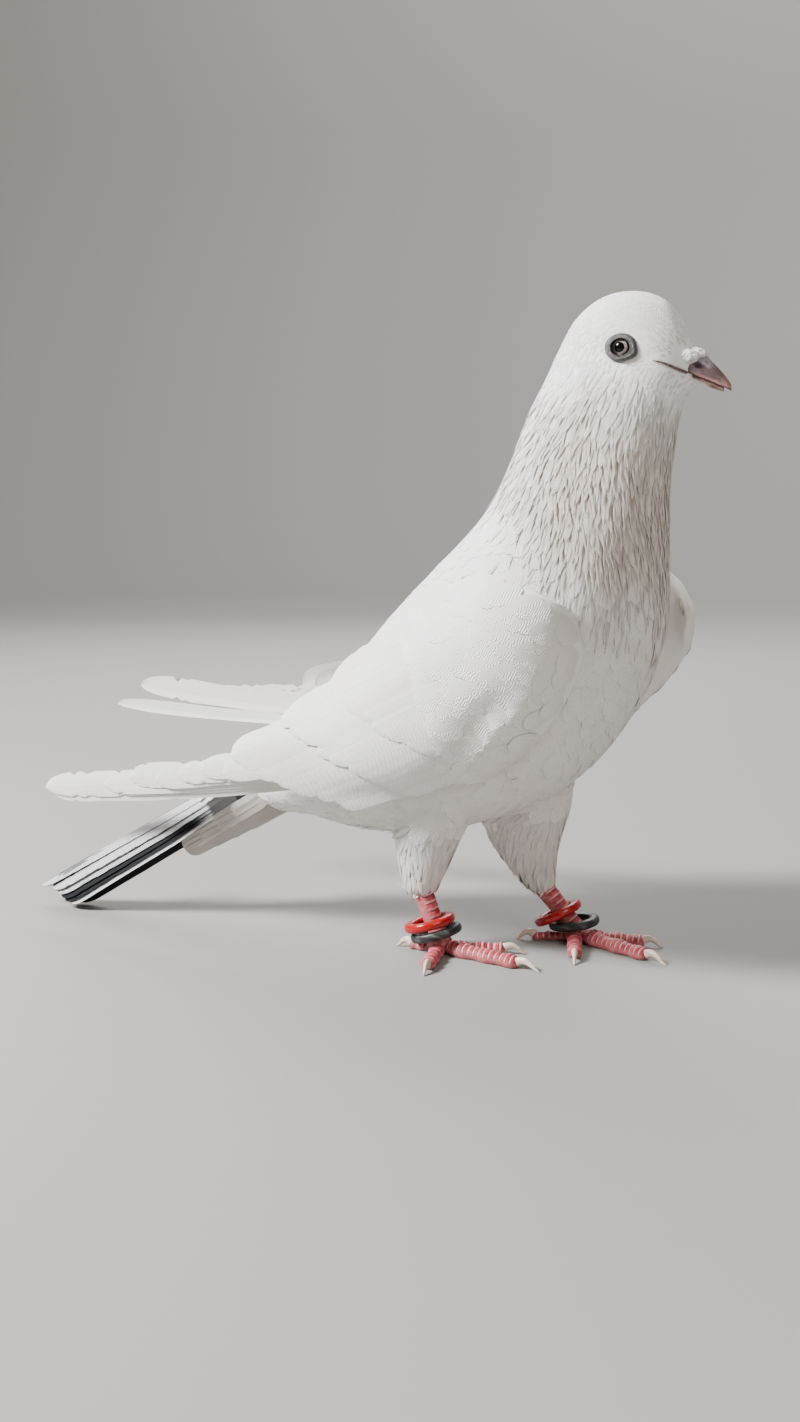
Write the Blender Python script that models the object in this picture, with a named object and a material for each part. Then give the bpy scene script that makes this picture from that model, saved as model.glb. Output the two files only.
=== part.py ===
"""A life-size standing pigeon of the neelduma breed: white, with a dark tail and two rings on each leg.

Lengths below are in millimetres and are turned to metres when a mesh is made.
X points forward, Y to the bird's left and Z up, and the floor is Z = 0.
"""

import math

import bmesh
import bpy
import numpy as np
from mathutils import Matrix, Vector

MM = 0.001
GAP = 0.3  # clearance between neighbouring pieces

# Body outline: (back x, back z, belly x, belly z, half width) from the rump to the root of the bill.
BODY = [
    (-87.0, 56.5, -77.0, 38.5, 13.5),
    (-70.0, 70.0, -60.0, 38.0, 21.5),
    (-50.0, 88.0, -40.0, 35.0, 30.0),
    (-31.0, 109.2, -18.0, 36.5, 37.5),
    (-16.0, 124.6, 6.0, 43.5, 40.5),
    (-4.5, 136.0, 28.5, 56.5, 40.5),
    (3.5, 147.0, 46.0, 79.0, 37.5),
    (7.5, 157.0, 54.4, 103.0, 32.0),
    (10.0, 165.5, 54.9, 126.0, 25.0),
    (13.0, 173.5, 55.0, 146.0, 20.0),
    (16.5, 181.5, 57.0, 163.0, 16.6),
    (20.5, 190.0, 59.2, 172.5, 14.2),
    (26.0, 198.5, 60.6, 175.6, 12.8),
    (34.5, 204.2, 60.6, 176.0, 11.8),
    (44.0, 205.3, 61.4, 176.3, 9.4),
    (52.8, 202.3, 62.0, 176.6, 6.2),
    (58.2, 195.5, 63.0, 177.0, 3.7),
    (60.8, 189.8, 63.9, 177.6, 2.4),
]
BODY_SIDES = 20
BODY_SQUARENESS = 2.25  # 2 is an ellipse
TORSO_END = 7.3  # stations, counted along BODY
NECK_END = 10.5
HEAD_END = 17.0

# Head
EYE = (42.5, 187.5)
EYE_DEPTH = 8.5
EYE_RADIUS = 4.6
LID_RADIUS = 3.75
LID_THICKNESS = 0.75
# Bill: (x, top z, bottom z, half width)
BILL_UPPER = [
    (54.0, 187.4, 182.9, 4.2),
    (59.0, 187.6, 180.9, 4.5),
    (63.6, 186.6, 179.2, 3.8),
    (66.4, 183.7, 178.2, 2.9),
    (69.0, 181.0, 176.9, 2.1),
    (71.1, 178.6, 175.8, 1.4),
    (72.4, 176.6, 175.1, 0.6),
]
BILL_LOWER = [
    (56.0, 181.2, 178.3, 3.5),
    (60.0, 180.2, 177.7, 3.3),
    (64.0, 178.8, 177.0, 2.8),
    (67.4, 177.35, 175.8, 2.0),
    (70.2, 175.95, 174.9, 0.9),
]
# Lobes of the cere on the right: (centre), (radii); the left ones mirror them.
CERE_LOBES = [((59.3, -3.8, 185.0), (3.4, 2.4, 2.6)), ((61.2, -1.4, 185.9), (3.2, 1.9, 2.2))]
NOSTRIL = (62.8, 182.4)
MOUTH_CORNER = (50.9, 184.0)

# Wings: the wrist and the tip in the side view, and how far each stands out from the middle of the body.
# Primaries, from the lowest up: (distance of the tip along the wing, height of the tip, width, bow).
WINGS = {
    "right": {
        "side": -1, "wrist": (38.5, 104.0), "tip": (-159.5, 46.0), "out_wrist": 46.0, "out_tip": 25.0,
        "front": 0.6, "low_root": -27.0,
        "primaries": [(198.5, -5.2, 6.0, 2.7), (204.5, -4.6, 8.5, 2.0), (206.6, -2.2, 9.0, 1.6),
                      (168.0, -6.4, 8.5, 1.4), (152.0, -9.4, 8.5, 1.2), (137.0, -9.8, 8.5, 1.0)],
        "tertial": (124.0, -8.0),
    },
    "left": {
        "side": 1, "wrist": (51.0, 107.0), "tip": (-156.5, 72.0), "out_wrist": 48.0, "out_tip": 24.0,
        "front": -4.0, "low_root": -31.3,
        "primaries": [(210.6, -3.0, 5.0, 2.9), (200.5, 2.6, 8.5, 2.8), (181.0, -4.4, 8.5, 2.2),
                      (169.0, -6.0, 8.5, 1.8), (157.0, -7.8, 8.5, 1.4), (145.0, -10.2, 8.5, 1.0)],
        "tertial": (138.5, -5.4),
    },
}
# Edges of the folded wing: (distance along it from the wrist, distance up from its axis).
WING_LOW = {
    "right": [
        (1.0, -2.0), (3.6, -8.0), (9.2, -15.0), (15.5, -21.0), (24.0, -27.0), (38.0, -32.5), (62.0, -31.0),
        (84.0, -28.0),
    ],
    "left": [
        (-3.5, -2.0), (0.0, -11.6), (9.0, -21.5), (24.0, -33.0), (41.0, -37.7), (62.0, -36.0), (84.0, -32.5),
    ],
}
WING_UP = {
    "right": [(1.0, 3.0), (3.2, 11.0), (8.8, 16.5), (20.0, 24.5), (41.0, 25.0), (62.0, 17.0), (84.0, 7.0)],
    "left": [(-3.5, 2.0), (0.0, 10.0), (7.0, 18.0), (20.0, 25.0), (41.0, 25.0), (62.0, 17.0), (84.0, 7.0)],
}
PAD_THICKNESS = 11.5
PAD_REACH = 74.0
VANE_THICKNESS = 0.5

# Tail
TAIL_ROOT = (-84.0, -3.0, 49.0)
TAIL_TIP = (-167.0, -16.0, 8.0)
TAIL_RIDGE = (8.5, -1.2)  # height of the middle feathers over the tail's axis, at its root and its tip
TAIL_DROP = {"right": math.radians(45.0), "left": math.radians(66.0)}
# Each pair, from the middle out: outer edge's distance from the ridge near the root and at the tip, length.
TAIL_PAIRS = [(7.5, 2.8, 93.5), (10.5, 7.4, 89.0), (12.2, 9.6, 87.0), (13.4, 11.6, 86.0), (14.6, 13.2, 85.0),
              (15.6, 14.6, 83.5)]

# Legs: the foot's place on the floor, and the leg's sections up to the belly.
# Each section is (x, y, z, half length, half width).
LEGS = {
    "right": {
        "foot": (-12.0, -16.0),
        "hock": (-17.6, -16.6, 19.2),
        "thigh": [
            (-18.4, -16.6, 19.5, 5.4, 4.4),
            (-17.4, -17.2, 28.0, 8.8, 6.6),
            (-15.6, -18.2, 37.0, 11.6, 8.6),
            (-13.6, -19.6, 48.0, 14.4, 10.8),
            (-10.0, -20.0, 62.0, 16.0, 12.0),
        ],
        "toes": {
            "middle": (-12.0, 29.0), "outer": (-80.0, 19.0), "inner": (18.0, 21.0), "hind": (176.0, 10.5),
        },
        "rings": {"black": ((-13.3, -16.0, 6.5), 16.0), "red": ((-15.4, -16.4, 9.6), 16.5)},
    },
    "left": {
        "foot": (24.0, 14.0),
        "hock": (14.2, 14.0, 15.6),
        "thigh": [
            (13.0, 14.0, 15.9, 4.8, 3.9),
            (8.6, 14.4, 24.0, 9.2, 6.2),
            (5.6, 15.4, 33.0, 13.4, 8.4),
            (4.6, 17.4, 45.0, 17.4, 10.6),
            (4.6, 19.0, 60.0, 18.0, 12.0),
        ],
        "toes": {
            "middle": (-25.0, 30.0), "outer": (5.0, 23.0), "inner": (-74.0, 21.0), "hind": (200.0, 14.0),
        },
        "rings": {"black": ((23.7, 14.0, 6.1), 9.0), "red": ((18.2, 14.0, 8.6), 28.0)},
    },
}
TOE_RADIUS = {"middle": 2.65, "outer": 2.4, "inner": 2.4, "hind": 1.75}
TOE_FLATNESS = 0.9  # height of a toe over its width
TOE_SCUTE = 0.35
CLAW_LENGTH = {"middle": 8.5, "outer": 7.0, "inner": 7.5, "hind": 6.0}
CLAW_SUNK = 0.8
SHANK_RADIUS = 2.9
RING_OUTER = 8.4
RING_BORE = 5.2
RING_HEIGHT = 2.6

COLOURS = {
    "plumage": ((0.86, 0.85, 0.82), 0.85),
    "tail": ((0.35, 0.35, 0.38), 0.8),
    "skin": ((0.62, 0.24, 0.22), 0.6),
    "horn": ((0.66, 0.55, 0.5), 0.45),
    "cere": ((0.8, 0.77, 0.75), 0.7),
    "eye": ((0.3, 0.3, 0.3), 0.15),
    "ring_red": ((0.7, 0.03, 0.03), 0.35),
    "ring_black": ((0.05, 0.06, 0.06), 0.4),
}


# Helpers for meshes, curves and Booleans
def clear_scene():
    for item in list(bpy.data.objects):
        bpy.data.objects.remove(item)


def material(name):
    found = bpy.data.materials.get(name)
    if found:
        return found
    colour, roughness = COLOURS[name]
    made = bpy.data.materials.new(name)
    made.use_nodes = True
    shader = made.node_tree.nodes["Principled BSDF"]
    shader.inputs["Base Color"].default_value = (*colour, 1.0)
    shader.inputs["Roughness"].default_value = roughness
    shader.inputs["Metallic"].default_value = 0.0
    return made


def mesh_object(name, points, faces, finish=None):
    """One object from points in millimetres, with its faces turned outwards."""
    mesh = bpy.data.meshes.new(name)
    mesh.from_pydata([tuple(c * MM for c in p) for p in points], [], faces)
    work = bmesh.new()
    work.from_mesh(mesh)
    bmesh.ops.recalc_face_normals(work, faces=work.faces)
    bmesh.ops.triangulate(work, faces=work.faces)
    work.to_mesh(mesh)
    work.free()
    made = bpy.data.objects.new(name, mesh)
    bpy.context.scene.collection.objects.link(made)
    if finish:
        mesh.materials.append(material(finish))
    return made


def smooth_row(table, t):
    """Catmull-Rom value at t, counted in rows, of a table of equally long rows."""
    rows = np.asarray(table, float)
    i = int(min(max(math.floor(t), 0), len(rows) - 2))
    u = t - i
    before, start, end = rows[max(i - 1, 0)], rows[i], rows[i + 1]
    after = rows[min(i + 2, len(rows) - 1)]
    return 0.5 * (
        2 * start
        + (end - before) * u
        + (2 * before - 5 * start + 4 * end - after) * u * u
        + (3 * start - before - 3 * end + after) * u**3
    )


def along(table, x):
    """Value of a two-column table at x, straight between its rows."""
    rows = np.asarray(table, float)
    return float(np.interp(x, rows[:, 0], rows[:, 1]))


def loft(name, rings, finish=None):
    """A closed skin over rings of equally many points, with a flat fan at each end."""
    sides = len(rings[0])
    points = [p for ring in rings for p in ring]
    faces = []
    for i in range(len(rings) - 1):
        for k in range(sides):
            a, b = i * sides + k, i * sides + (k + 1) % sides
            faces.append((a, b, b + sides, a + sides))
    for ring, first in ((rings[0], 0), (rings[-1], (len(rings) - 1) * sides)):
        points.append(tuple(np.mean(np.asarray(ring, float), axis=0)))
        centre = len(points) - 1
        faces += [(first + k, first + (k + 1) % sides, centre) for k in range(sides)]
    return mesh_object(name, points, faces, finish)


def tube(name, centres, radii, sides, finish=None, up=(0.0, 0.0, 1.0), crest=None, floor=None, turn=0.5):
    """A loft along centres, kept above the floor, with radii (sideways, upwards); crest lifts its top."""
    centres = [Vector(c) for c in centres]
    rings = []
    for i, centre in enumerate(centres):
        ahead = centres[min(i + 1, len(centres) - 1)] - centres[max(i - 1, 0)]
        across = ahead.cross(Vector(up)).normalized()
        rise = across.cross(ahead).normalized()
        ring = []
        for k in range(sides):
            angle = 2 * math.pi * (k + turn) / sides
            extra = crest[i] * max(0.0, math.sin(angle)) ** 0.5 if crest else 0.0
            point = centre + across * math.cos(angle) * (radii[i][0] + extra)
            point += rise * math.sin(angle) * (radii[i][1] + extra)
            if floor is not None:
                point.z = max(point.z, floor)
            ring.append(tuple(point))
        rings.append(ring)
    return loft(name, rings, finish)


def ball(name, centre, radii, finish=None, segments=14, rows=8):
    mesh = bpy.data.meshes.new(name)
    work = bmesh.new()
    bmesh.ops.create_uvsphere(work, u_segments=segments, v_segments=rows, radius=1.0)
    bmesh.ops.triangulate(work, faces=work.faces)
    work.transform(
        Matrix.Translation(Vector(centre) * MM) @ Matrix.Diagonal((*(r * MM for r in radii), 1.0))
    )
    work.to_mesh(mesh)
    work.free()
    made = bpy.data.objects.new(name, mesh)
    bpy.context.scene.collection.objects.link(made)
    if finish:
        mesh.materials.append(material(finish))
    return made


def apply_modifiers(item):
    bpy.context.view_layer.update()
    graph = bpy.context.evaluated_depsgraph_get()
    mesh = bpy.data.meshes.new_from_object(item.evaluated_get(graph))
    old = item.data
    item.modifiers.clear()
    item.data = mesh
    mesh.name = item.name
    if old.users == 0:
        bpy.data.meshes.remove(old)


def boolean(item, others, operation):
    """Joins closed pieces to item, or cuts them from it, and removes them."""
    group = bpy.data.collections.new("operands")
    bpy.context.scene.collection.children.link(group)
    for other in others:
        group.objects.link(other)
    step = item.modifiers.new(operation.lower(), "BOOLEAN")
    step.operation = operation
    step.operand_type = "COLLECTION"
    step.collection = group
    step.solver = "MANIFOLD"
    apply_modifiers(item)
    for other in others:
        bpy.data.objects.remove(other)
    bpy.data.collections.remove(group)
    keep_largest(item)
    return item


def keep_largest(item):
    """Keeps the closed surface of the greatest volume, which drops scraps and sealed hollows."""
    work = bmesh.new()
    work.from_mesh(item.data)
    bmesh.ops.triangulate(work, faces=work.faces)
    work.faces.index_update()
    seen, shells = set(), []
    for face in work.faces:
        if face.index in seen:
            continue
        shell, queue = [], [face]
        seen.add(face.index)
        while queue:
            here = queue.pop()
            shell.append(here)
            for edge in here.edges:
                for near in edge.link_faces:
                    if near.index not in seen:
                        seen.add(near.index)
                        queue.append(near)
        shells.append(shell)

    def volume(shell):
        return sum(
            f.verts[0].co.dot(f.verts[1].co.cross(f.verts[2].co)) for f in shell
        )

    shells.sort(key=volume)
    spare = [f for shell in shells[:-1] for f in shell]
    bmesh.ops.delete(work, geom=spare, context="FACES")
    loose = [v for v in work.verts if not v.link_faces]
    bmesh.ops.delete(work, geom=loose, context="VERTS")
    work.to_mesh(item.data)
    work.free()


# The body, from rump to face, as rings between the back line and the belly line
def body_ring(t, grow=0.0, shift=0.0):
    """The ring at station t, grown all round and shifted along the body."""
    bx, bz, vx, vz, width = smooth_row(BODY, t)
    back, belly = np.array([bx, 0.0, bz]), np.array([vx, 0.0, vz])
    centre, half = (back + belly) / 2, (back - belly) / 2
    height = np.linalg.norm(half)
    rise = half / height
    ahead = np.array([rise[2], 0.0, -rise[0]])
    power = 2.0 / BODY_SQUARENESS
    ring = []
    for k in range(BODY_SIDES):
        angle = 2 * math.pi * k / BODY_SIDES
        c, s = math.cos(angle), math.sin(angle)
        side = math.copysign(abs(c) ** power, c) * (width + grow)
        lift = math.copysign(abs(s) ** power, s) * (height + grow)
        ring.append(tuple(centre + rise * lift + np.array([0.0, side, 0.0]) + ahead * shift))
    return ring


def body_piece(name, start, end, step, finish=None, grow=0.0, shifts=(0.0, 0.0)):
    count = max(2, int(round((end - start) / step)))
    rings = []
    for i in range(count + 1):
        shift = shifts[0] if i == 0 else shifts[1] if i == count else 0.0
        rings.append(body_ring(start + (end - start) * i / count, grow, shift))
    return loft(name, rings, finish)


def grown_body(start=0.0, end=TORSO_END):
    """A cutter that clears the body by the gap."""
    return body_piece("cutter", start, end, 0.5, grow=GAP, shifts=(-GAP, GAP))


BODY_LINES = np.array([smooth_row(BODY, t) for t in np.linspace(0.0, 9.0, 73)])


def torso_half_width(x, z):
    """How far the torso's side is from its middle plane at a place in the side view; 0 outside it."""
    back, belly, width = BODY_LINES[:, 0:2], BODY_LINES[:, 2:4], BODY_LINES[:, 4]
    line = back - belly
    length = np.hypot(line[:, 0], line[:, 1])
    line = line / length[:, None]
    offset = np.array([x, z]) - (back + belly) / 2
    side = offset[:, 0] * line[:, 1] - offset[:, 1] * line[:, 0]
    share = np.abs((offset * line).sum(axis=1)) / (length / 2)
    crossed = np.nonzero(side[:-1] * side[1:] <= 0)[0]
    best = 0.0
    for i in crossed:
        u = side[i] / (side[i] - side[i + 1]) if side[i] != side[i + 1] else 0.0
        here = share[i] + (share[i + 1] - share[i]) * u
        if here < 1:
            wide = width[i] + (width[i + 1] - width[i]) * u
            best = max(best, wide * (1 - here**BODY_SQUARENESS) ** (1 / BODY_SQUARENESS))
    return best


# Head, bill, cere and eyes
def bill_rings(table, flat, grow=0.0, sides=10):
    """Sections of one half of the bill; flat is the side, 1 above or -1 below, that meets the other half."""
    rings = []
    for i in range(2 * len(table) - 1):
        x, top, bottom, width = smooth_row(table, i / 2)
        ring = []
        for k in range(sides):
            angle = 2 * math.pi * (k + 0.5) / sides
            c, s = math.cos(angle), math.sin(angle)
            dome = max(0.0, -s * flat) ** 0.9
            start = bottom - grow if flat < 0 else top + grow
            z = start - flat * (top - bottom + 2 * grow) * dome
            ends = {0: -grow, 2 * len(table) - 2: grow}
            ring.append((x + ends.get(i, 0.0), c * (width + grow), z))
        rings.append(ring)
    return rings


def lid(side):
    """A raised ring of bare skin round the eye, lying on the side of the head."""
    points, faces = [], []
    turns, sides = 14, 5
    for i in range(turns):
        angle = 2 * math.pi * i / turns
        for k in range(sides):
            phase = 2 * math.pi * k / sides
            reach = LID_RADIUS + LID_THICKNESS * math.cos(phase)
            depth = 12.0 + 0.9 * LID_THICKNESS * math.sin(phase)
            x, z = EYE[0] + 1.08 * reach * math.cos(angle), EYE[1] + reach * math.sin(angle)
            points.append((x, side * depth, z))
    for i in range(turns):
        for k in range(sides):
            a, b = i * sides + k, i * sides + (k + 1) % sides
            c, d = ((i + 1) % turns) * sides + (k + 1) % sides, ((i + 1) % turns) * sides + k
            faces.append((a, b, c, d))
    return mesh_object("lid", points, faces)


def make_head():
    head = body_piece("head", NECK_END, HEAD_END, 0.5, "plumage", shifts=(GAP / 2, 0.0))
    boolean(head, [lid(1), lid(-1)], "UNION")
    cutters = [
        loft("cutter", bill_rings(BILL_UPPER, -1, GAP)),
        loft("cutter", bill_rings(BILL_LOWER, 1, GAP)),
    ]
    for side in (1, -1):
        centre = (EYE[0], side * EYE_DEPTH, EYE[1])
        cutters.append(ball("cutter", centre, (EYE_RADIUS + GAP,) * 3))
        start = Vector((MOUTH_CORNER[0], side * 13.0, MOUTH_CORNER[1]))
        end = Vector((BILL_UPPER[1][0], side * 7.0, BILL_UPPER[1][2]))
        inner = [start + Vector((0, -side * 4.2, 0)), end + Vector((0, -side * 4.0, 0))]
        line = [(start + inner[0]) / 2, (end + inner[1]) / 2]
        cutters.append(tube("cutter", line, [(2.4, 0.3), (3.0, 0.35)], 6))
    boolean(head, cutters, "DIFFERENCE")
    for name, side in (("eye_left", 1), ("eye_right", -1)):
        ball(name, (EYE[0], side * EYE_DEPTH, EYE[1]), (EYE_RADIUS,) * 3, "eye")


def make_bill():
    upper = loft("bill_upper", bill_rings(BILL_UPPER, -1), "horn")
    nostrils = [ball("cutter", (NOSTRIL[0], side * 4.0, NOSTRIL[1]), (2.0, 0.9, 0.6), segments=10, rows=6)
                for side in (1, -1)]
    boolean(upper, nostrils, "DIFFERENCE")
    loft("bill_lower", bill_rings(BILL_LOWER, 1), "horn")
    bulbs = [ball("cere", (x, side * y, z), radii, "cere", 12, 6)
             for side in (1, -1) for (x, y, z), radii in CERE_LOBES]
    cere = boolean(bulbs[0], bulbs[1:], "UNION")
    cere.name = cere.data.name = "cere"
    clear = [
        loft("cutter", bill_rings(BILL_UPPER, -1, GAP)),
        body_piece("cutter", NECK_END, HEAD_END, 0.5, grow=GAP, shifts=(0.0, GAP)),
    ]
    boolean(cere, clear, "DIFFERENCE")


# Wings
class Wing:
    """The folded wing's outer surface: a runs from the wrist to the tip, b is up from that line."""

    def __init__(self, word, sizes):
        self.side = sizes["side"]
        self.low, self.up_edge = WING_LOW[word], WING_UP[word]
        self.wrist = np.array(sizes["wrist"])
        reach = np.array(sizes["tip"]) - self.wrist
        self.length = float(np.linalg.norm(reach))
        self.axis = reach / self.length
        self.up = np.array([self.axis[1], -self.axis[0]])
        self.out_wrist, self.out_tip = sizes["out_wrist"], sizes["out_tip"]
        self.front, self.low_root = sizes["front"], sizes["low_root"]
        self.primaries, self.tertial = sizes["primaries"], sizes["tertial"]

    def out(self, a, b):
        """Distance from the middle plane of the body."""
        x, z = self.wrist + a * self.axis + b * self.up
        share = min(max(a / self.length, 0.0), 1.0)
        plane = self.out_wrist + (self.out_tip - self.out_wrist) * share
        plane -= max(0.0, b - 6.0) ** 2 / 60.0 + max(0.0, -12.0 - b) ** 2 / 90.0
        behind = min(1.0, max(0.0, (a - 55.0) / 30.0)) * min(1.0, max(0.0, (150.0 - a) / 25.0))
        plane -= behind * max(0.0, b + 9.0) ** 2 / 24.0
        front = math.sqrt(max(0.0, 1 - min(1.0, max(0.0, (self.front + 18.0 - a) / 18.0)) ** 2))
        edge_up, edge_low = along(self.up_edge, a), along(self.low, a)
        middle, half = (edge_up + edge_low) / 2, (edge_up - edge_low) / 2
        across = min(1.0, abs(b - middle) / half)
        soft, bold = 1 - 0.75 * across**3, math.sqrt(1 - across**4)
        swell = 1 - min(1.0, max(0.0, (a - 35.0) / 30.0)) if b < middle else 0.0
        pad = PAD_THICKNESS * front * (soft + (bold - soft) * swell)
        body = torso_half_width(x, z) + max(1.0, pad * (1 - 0.45 * min(1.0, max(0.0, a - 20.0) / 70.0)))
        blend = 3.0
        plane -= (1 - front) * 9.0
        return blend * math.log(math.exp(plane / blend) + math.exp(body / blend))

    def point(self, a, b, lift=0.0):
        x, z = self.wrist + a * self.axis + b * self.up
        step = 1.5
        slope_a = (self.out(a + step, b) - self.out(a - step, b)) / (2 * step)
        slope_b = (self.out(a, b + step) - self.out(a, b - step)) / (2 * step)
        normal = np.array([-slope_a, -slope_b, 1.0])
        normal[:2] = np.clip(normal[:2], -1.5, 1.5)
        normal /= np.linalg.norm(normal)
        flat = normal[0] * self.axis + normal[1] * self.up
        return (
            float(x + lift * flat[0]),
            float(self.side * (self.out(a, b) + lift * normal[2])),
            float(z + lift * flat[1]),
        )

    def vane(self, root, tip, width, lifts, tilt=0.12, bend=0.0, blunt=0.3):
        """One feather from root to tip on this surface, its lower edge standing proud by the tilt."""
        root, tip = np.array(root, float), np.array(tip, float)
        line = tip - root
        length = np.linalg.norm(line)
        line /= length
        across = np.array([line[1], -line[0]])
        stations = ((0.0, 0.6), (0.45, 1.0), (0.86, 0.86), (1.0, blunt))
        upper, lower = [], []
        for share, wide in stations:
            centre = root + line * length * share + across * bend * math.sin(math.pi * share)
            lift = lifts[0] + (lifts[1] - lifts[0]) * min(1.0, share / 0.45)
            for k in (-1.0, 0.0, 1.0):
                place = centre + across * k * width / 2 * wide
                high = lift + tilt * k * width / 2 * wide
                upper.append(self.point(*place, high + VANE_THICKNESS / 2))
                lower.append(self.point(*place, high - VANE_THICKNESS / 2))
        return plate("vane", upper, lower, len(stations), 3)


def plate(name, upper, lower, rows, columns, finish=None):
    """A thin closed plate between two grids of points that are split into triangles alike."""
    count = rows * columns
    faces = []
    for i in range(rows - 1):
        for k in range(columns - 1):
            a, b = i * columns + k, i * columns + k + 1
            c, d = b + columns, a + columns
            if k < columns // 2:
                halves = ((a, b, c), (a, c, d))
            else:
                halves = ((a, b, d), (b, c, d))
            for p, q, r in halves:
                faces.append((p, q, r))
                faces.append((count + r, count + q, count + p))
    rim = [k for k in range(columns)]
    rim += [i * columns + columns - 1 for i in range(1, rows)]
    rim += [(rows - 1) * columns + k for k in range(columns - 2, -1, -1)]
    rim += [i * columns for i in range(rows - 2, 0, -1)]
    for i, here in enumerate(rim):
        there = rim[(i + 1) % len(rim)]
        faces += [(there, here, count + here), (there, count + here, count + there)]
    return mesh_object(name, upper + lower, faces, finish)


def lerp(start, end, share):
    return tuple(s + (e - s) * share for s, e in zip(start, end))


def wing_vanes(wing):
    """The folded wing's feathers in tiers, each listed from the lowest to the uppermost."""
    vanes = []
    for k, (reach, high, width, bow) in enumerate(wing.primaries):
        root = (64.0, wing.low_root + 2.4 * k)
        vanes.append(wing.vane(root, (reach, high), width, (-5.2 + 1.0 * k, -4.2 + 1.0 * k), 0.0, bow))
    tiers = (
        # count, first root, last root, first tip, last tip, width, lifts at the root and at the tip, tilt
        (8, (40.0, -25.0), (56.0, 1.0), (90.0, -27.5), wing.tertial, 10.5, (-3.6, -0.2), 0.24),
        (6, (26.0, -22.0), (46.0, 10.0), (64.0, -27.0), (101.0, -1.5), 12.0, (-2.0, 2.0), 0.18),
        (4, (15.0, -15.0), (32.0, 14.0), (44.0, -21.5), (79.0, 5.0), 15.0, (-2.0, 2.9), 0.13),
    )
    for count, root_a, root_b, tip_a, tip_b, width, lifts, tilt in tiers:
        for k in range(count):
            share = k / (count - 1)
            root, tip = lerp(root_a, root_b, share), lerp(tip_a, tip_b, share)
            vanes.append(wing.vane(root, tip, width, lifts, tilt))
    return vanes


def wing_pad(name, wing):
    """The arm and its small feathers: a rounded pad that the body's side cuts to shape behind."""
    rings = []
    first = wing.low[0][0]
    stations = (first + 0.1, first + 1.8, first + 5.0, 9.5, 16.0, 26.0, 38.0, 50.0, 62.0, PAD_REACH)
    half_count = 8
    for a in stations:
        low, up = along(wing.low, a), along(wing.up_edge, a)
        sink = 3.2 * max(0.0, a - 38.0) / (PAD_REACH - 38.0)
        outer, inner = [], []
        for k in range(half_count):
            b = (low + up) / 2 - (up - low) / 2 * math.cos(math.pi * k / (half_count - 1))
            edge = math.sin(math.pi * k / (half_count - 1))
            x, y, z = wing.point(a, b, -sink)
            outer.append((x, y, z))
            taper = 1.0 - 0.8 * max(0.0, a - 38.0) / (PAD_REACH - 38.0)
            depth = (1.0 + 11.0 * edge) * taper
            inner.append((x, y - wing.side * depth, z))
        rings.append(outer + inner[::-1][1:-1])
    return loft(name, rings, "plumage")


def make_wing(word, sizes, clear):
    wing = Wing(word, sizes)
    pad = wing_pad(f"wing_{word}", wing)
    boolean(pad, wing_vanes(wing), "UNION")
    boolean(pad, clear, "DIFFERENCE")


# Tail
def tail_axes():
    root, tip = Vector(TAIL_ROOT), Vector(TAIL_TIP)
    ahead = (tip - root).normalized()
    across = Vector((0.0, 0.0, 1.0)).cross(ahead).normalized()  # to the bird's left, as the tail points back
    if across.y < 0:
        across = -across
    top = ahead.cross(across)
    if top.z < 0:
        top = -top
    return root, ahead, across, top, (tip - root).length


def tail_vane(start, end, across, top, outer, inner, side, curve=1.0):
    """A feather from start to end: outer web and inner web on either side of its shaft."""
    stations = ((0.0, 0.3), (0.4, 0.9), (0.9, 0.9), (1.0, 0.35))
    upper, lower = [], []
    for share, wide in stations:
        centre = start.lerp(end, share) + top * curve * math.sin(math.pi * share)
        for k, reach in ((-1.0, inner), (0.0, 0.0), (1.0, outer)):
            place = centre + across * side * k * reach * wide - top * (0.05 * abs(k) * reach * wide)
            upper.append(tuple(place + top * VANE_THICKNESS / 2))
            lower.append(tuple(place - top * VANE_THICKNESS / 2))
    return plate("vane", upper, lower, len(stations), 3)


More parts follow.
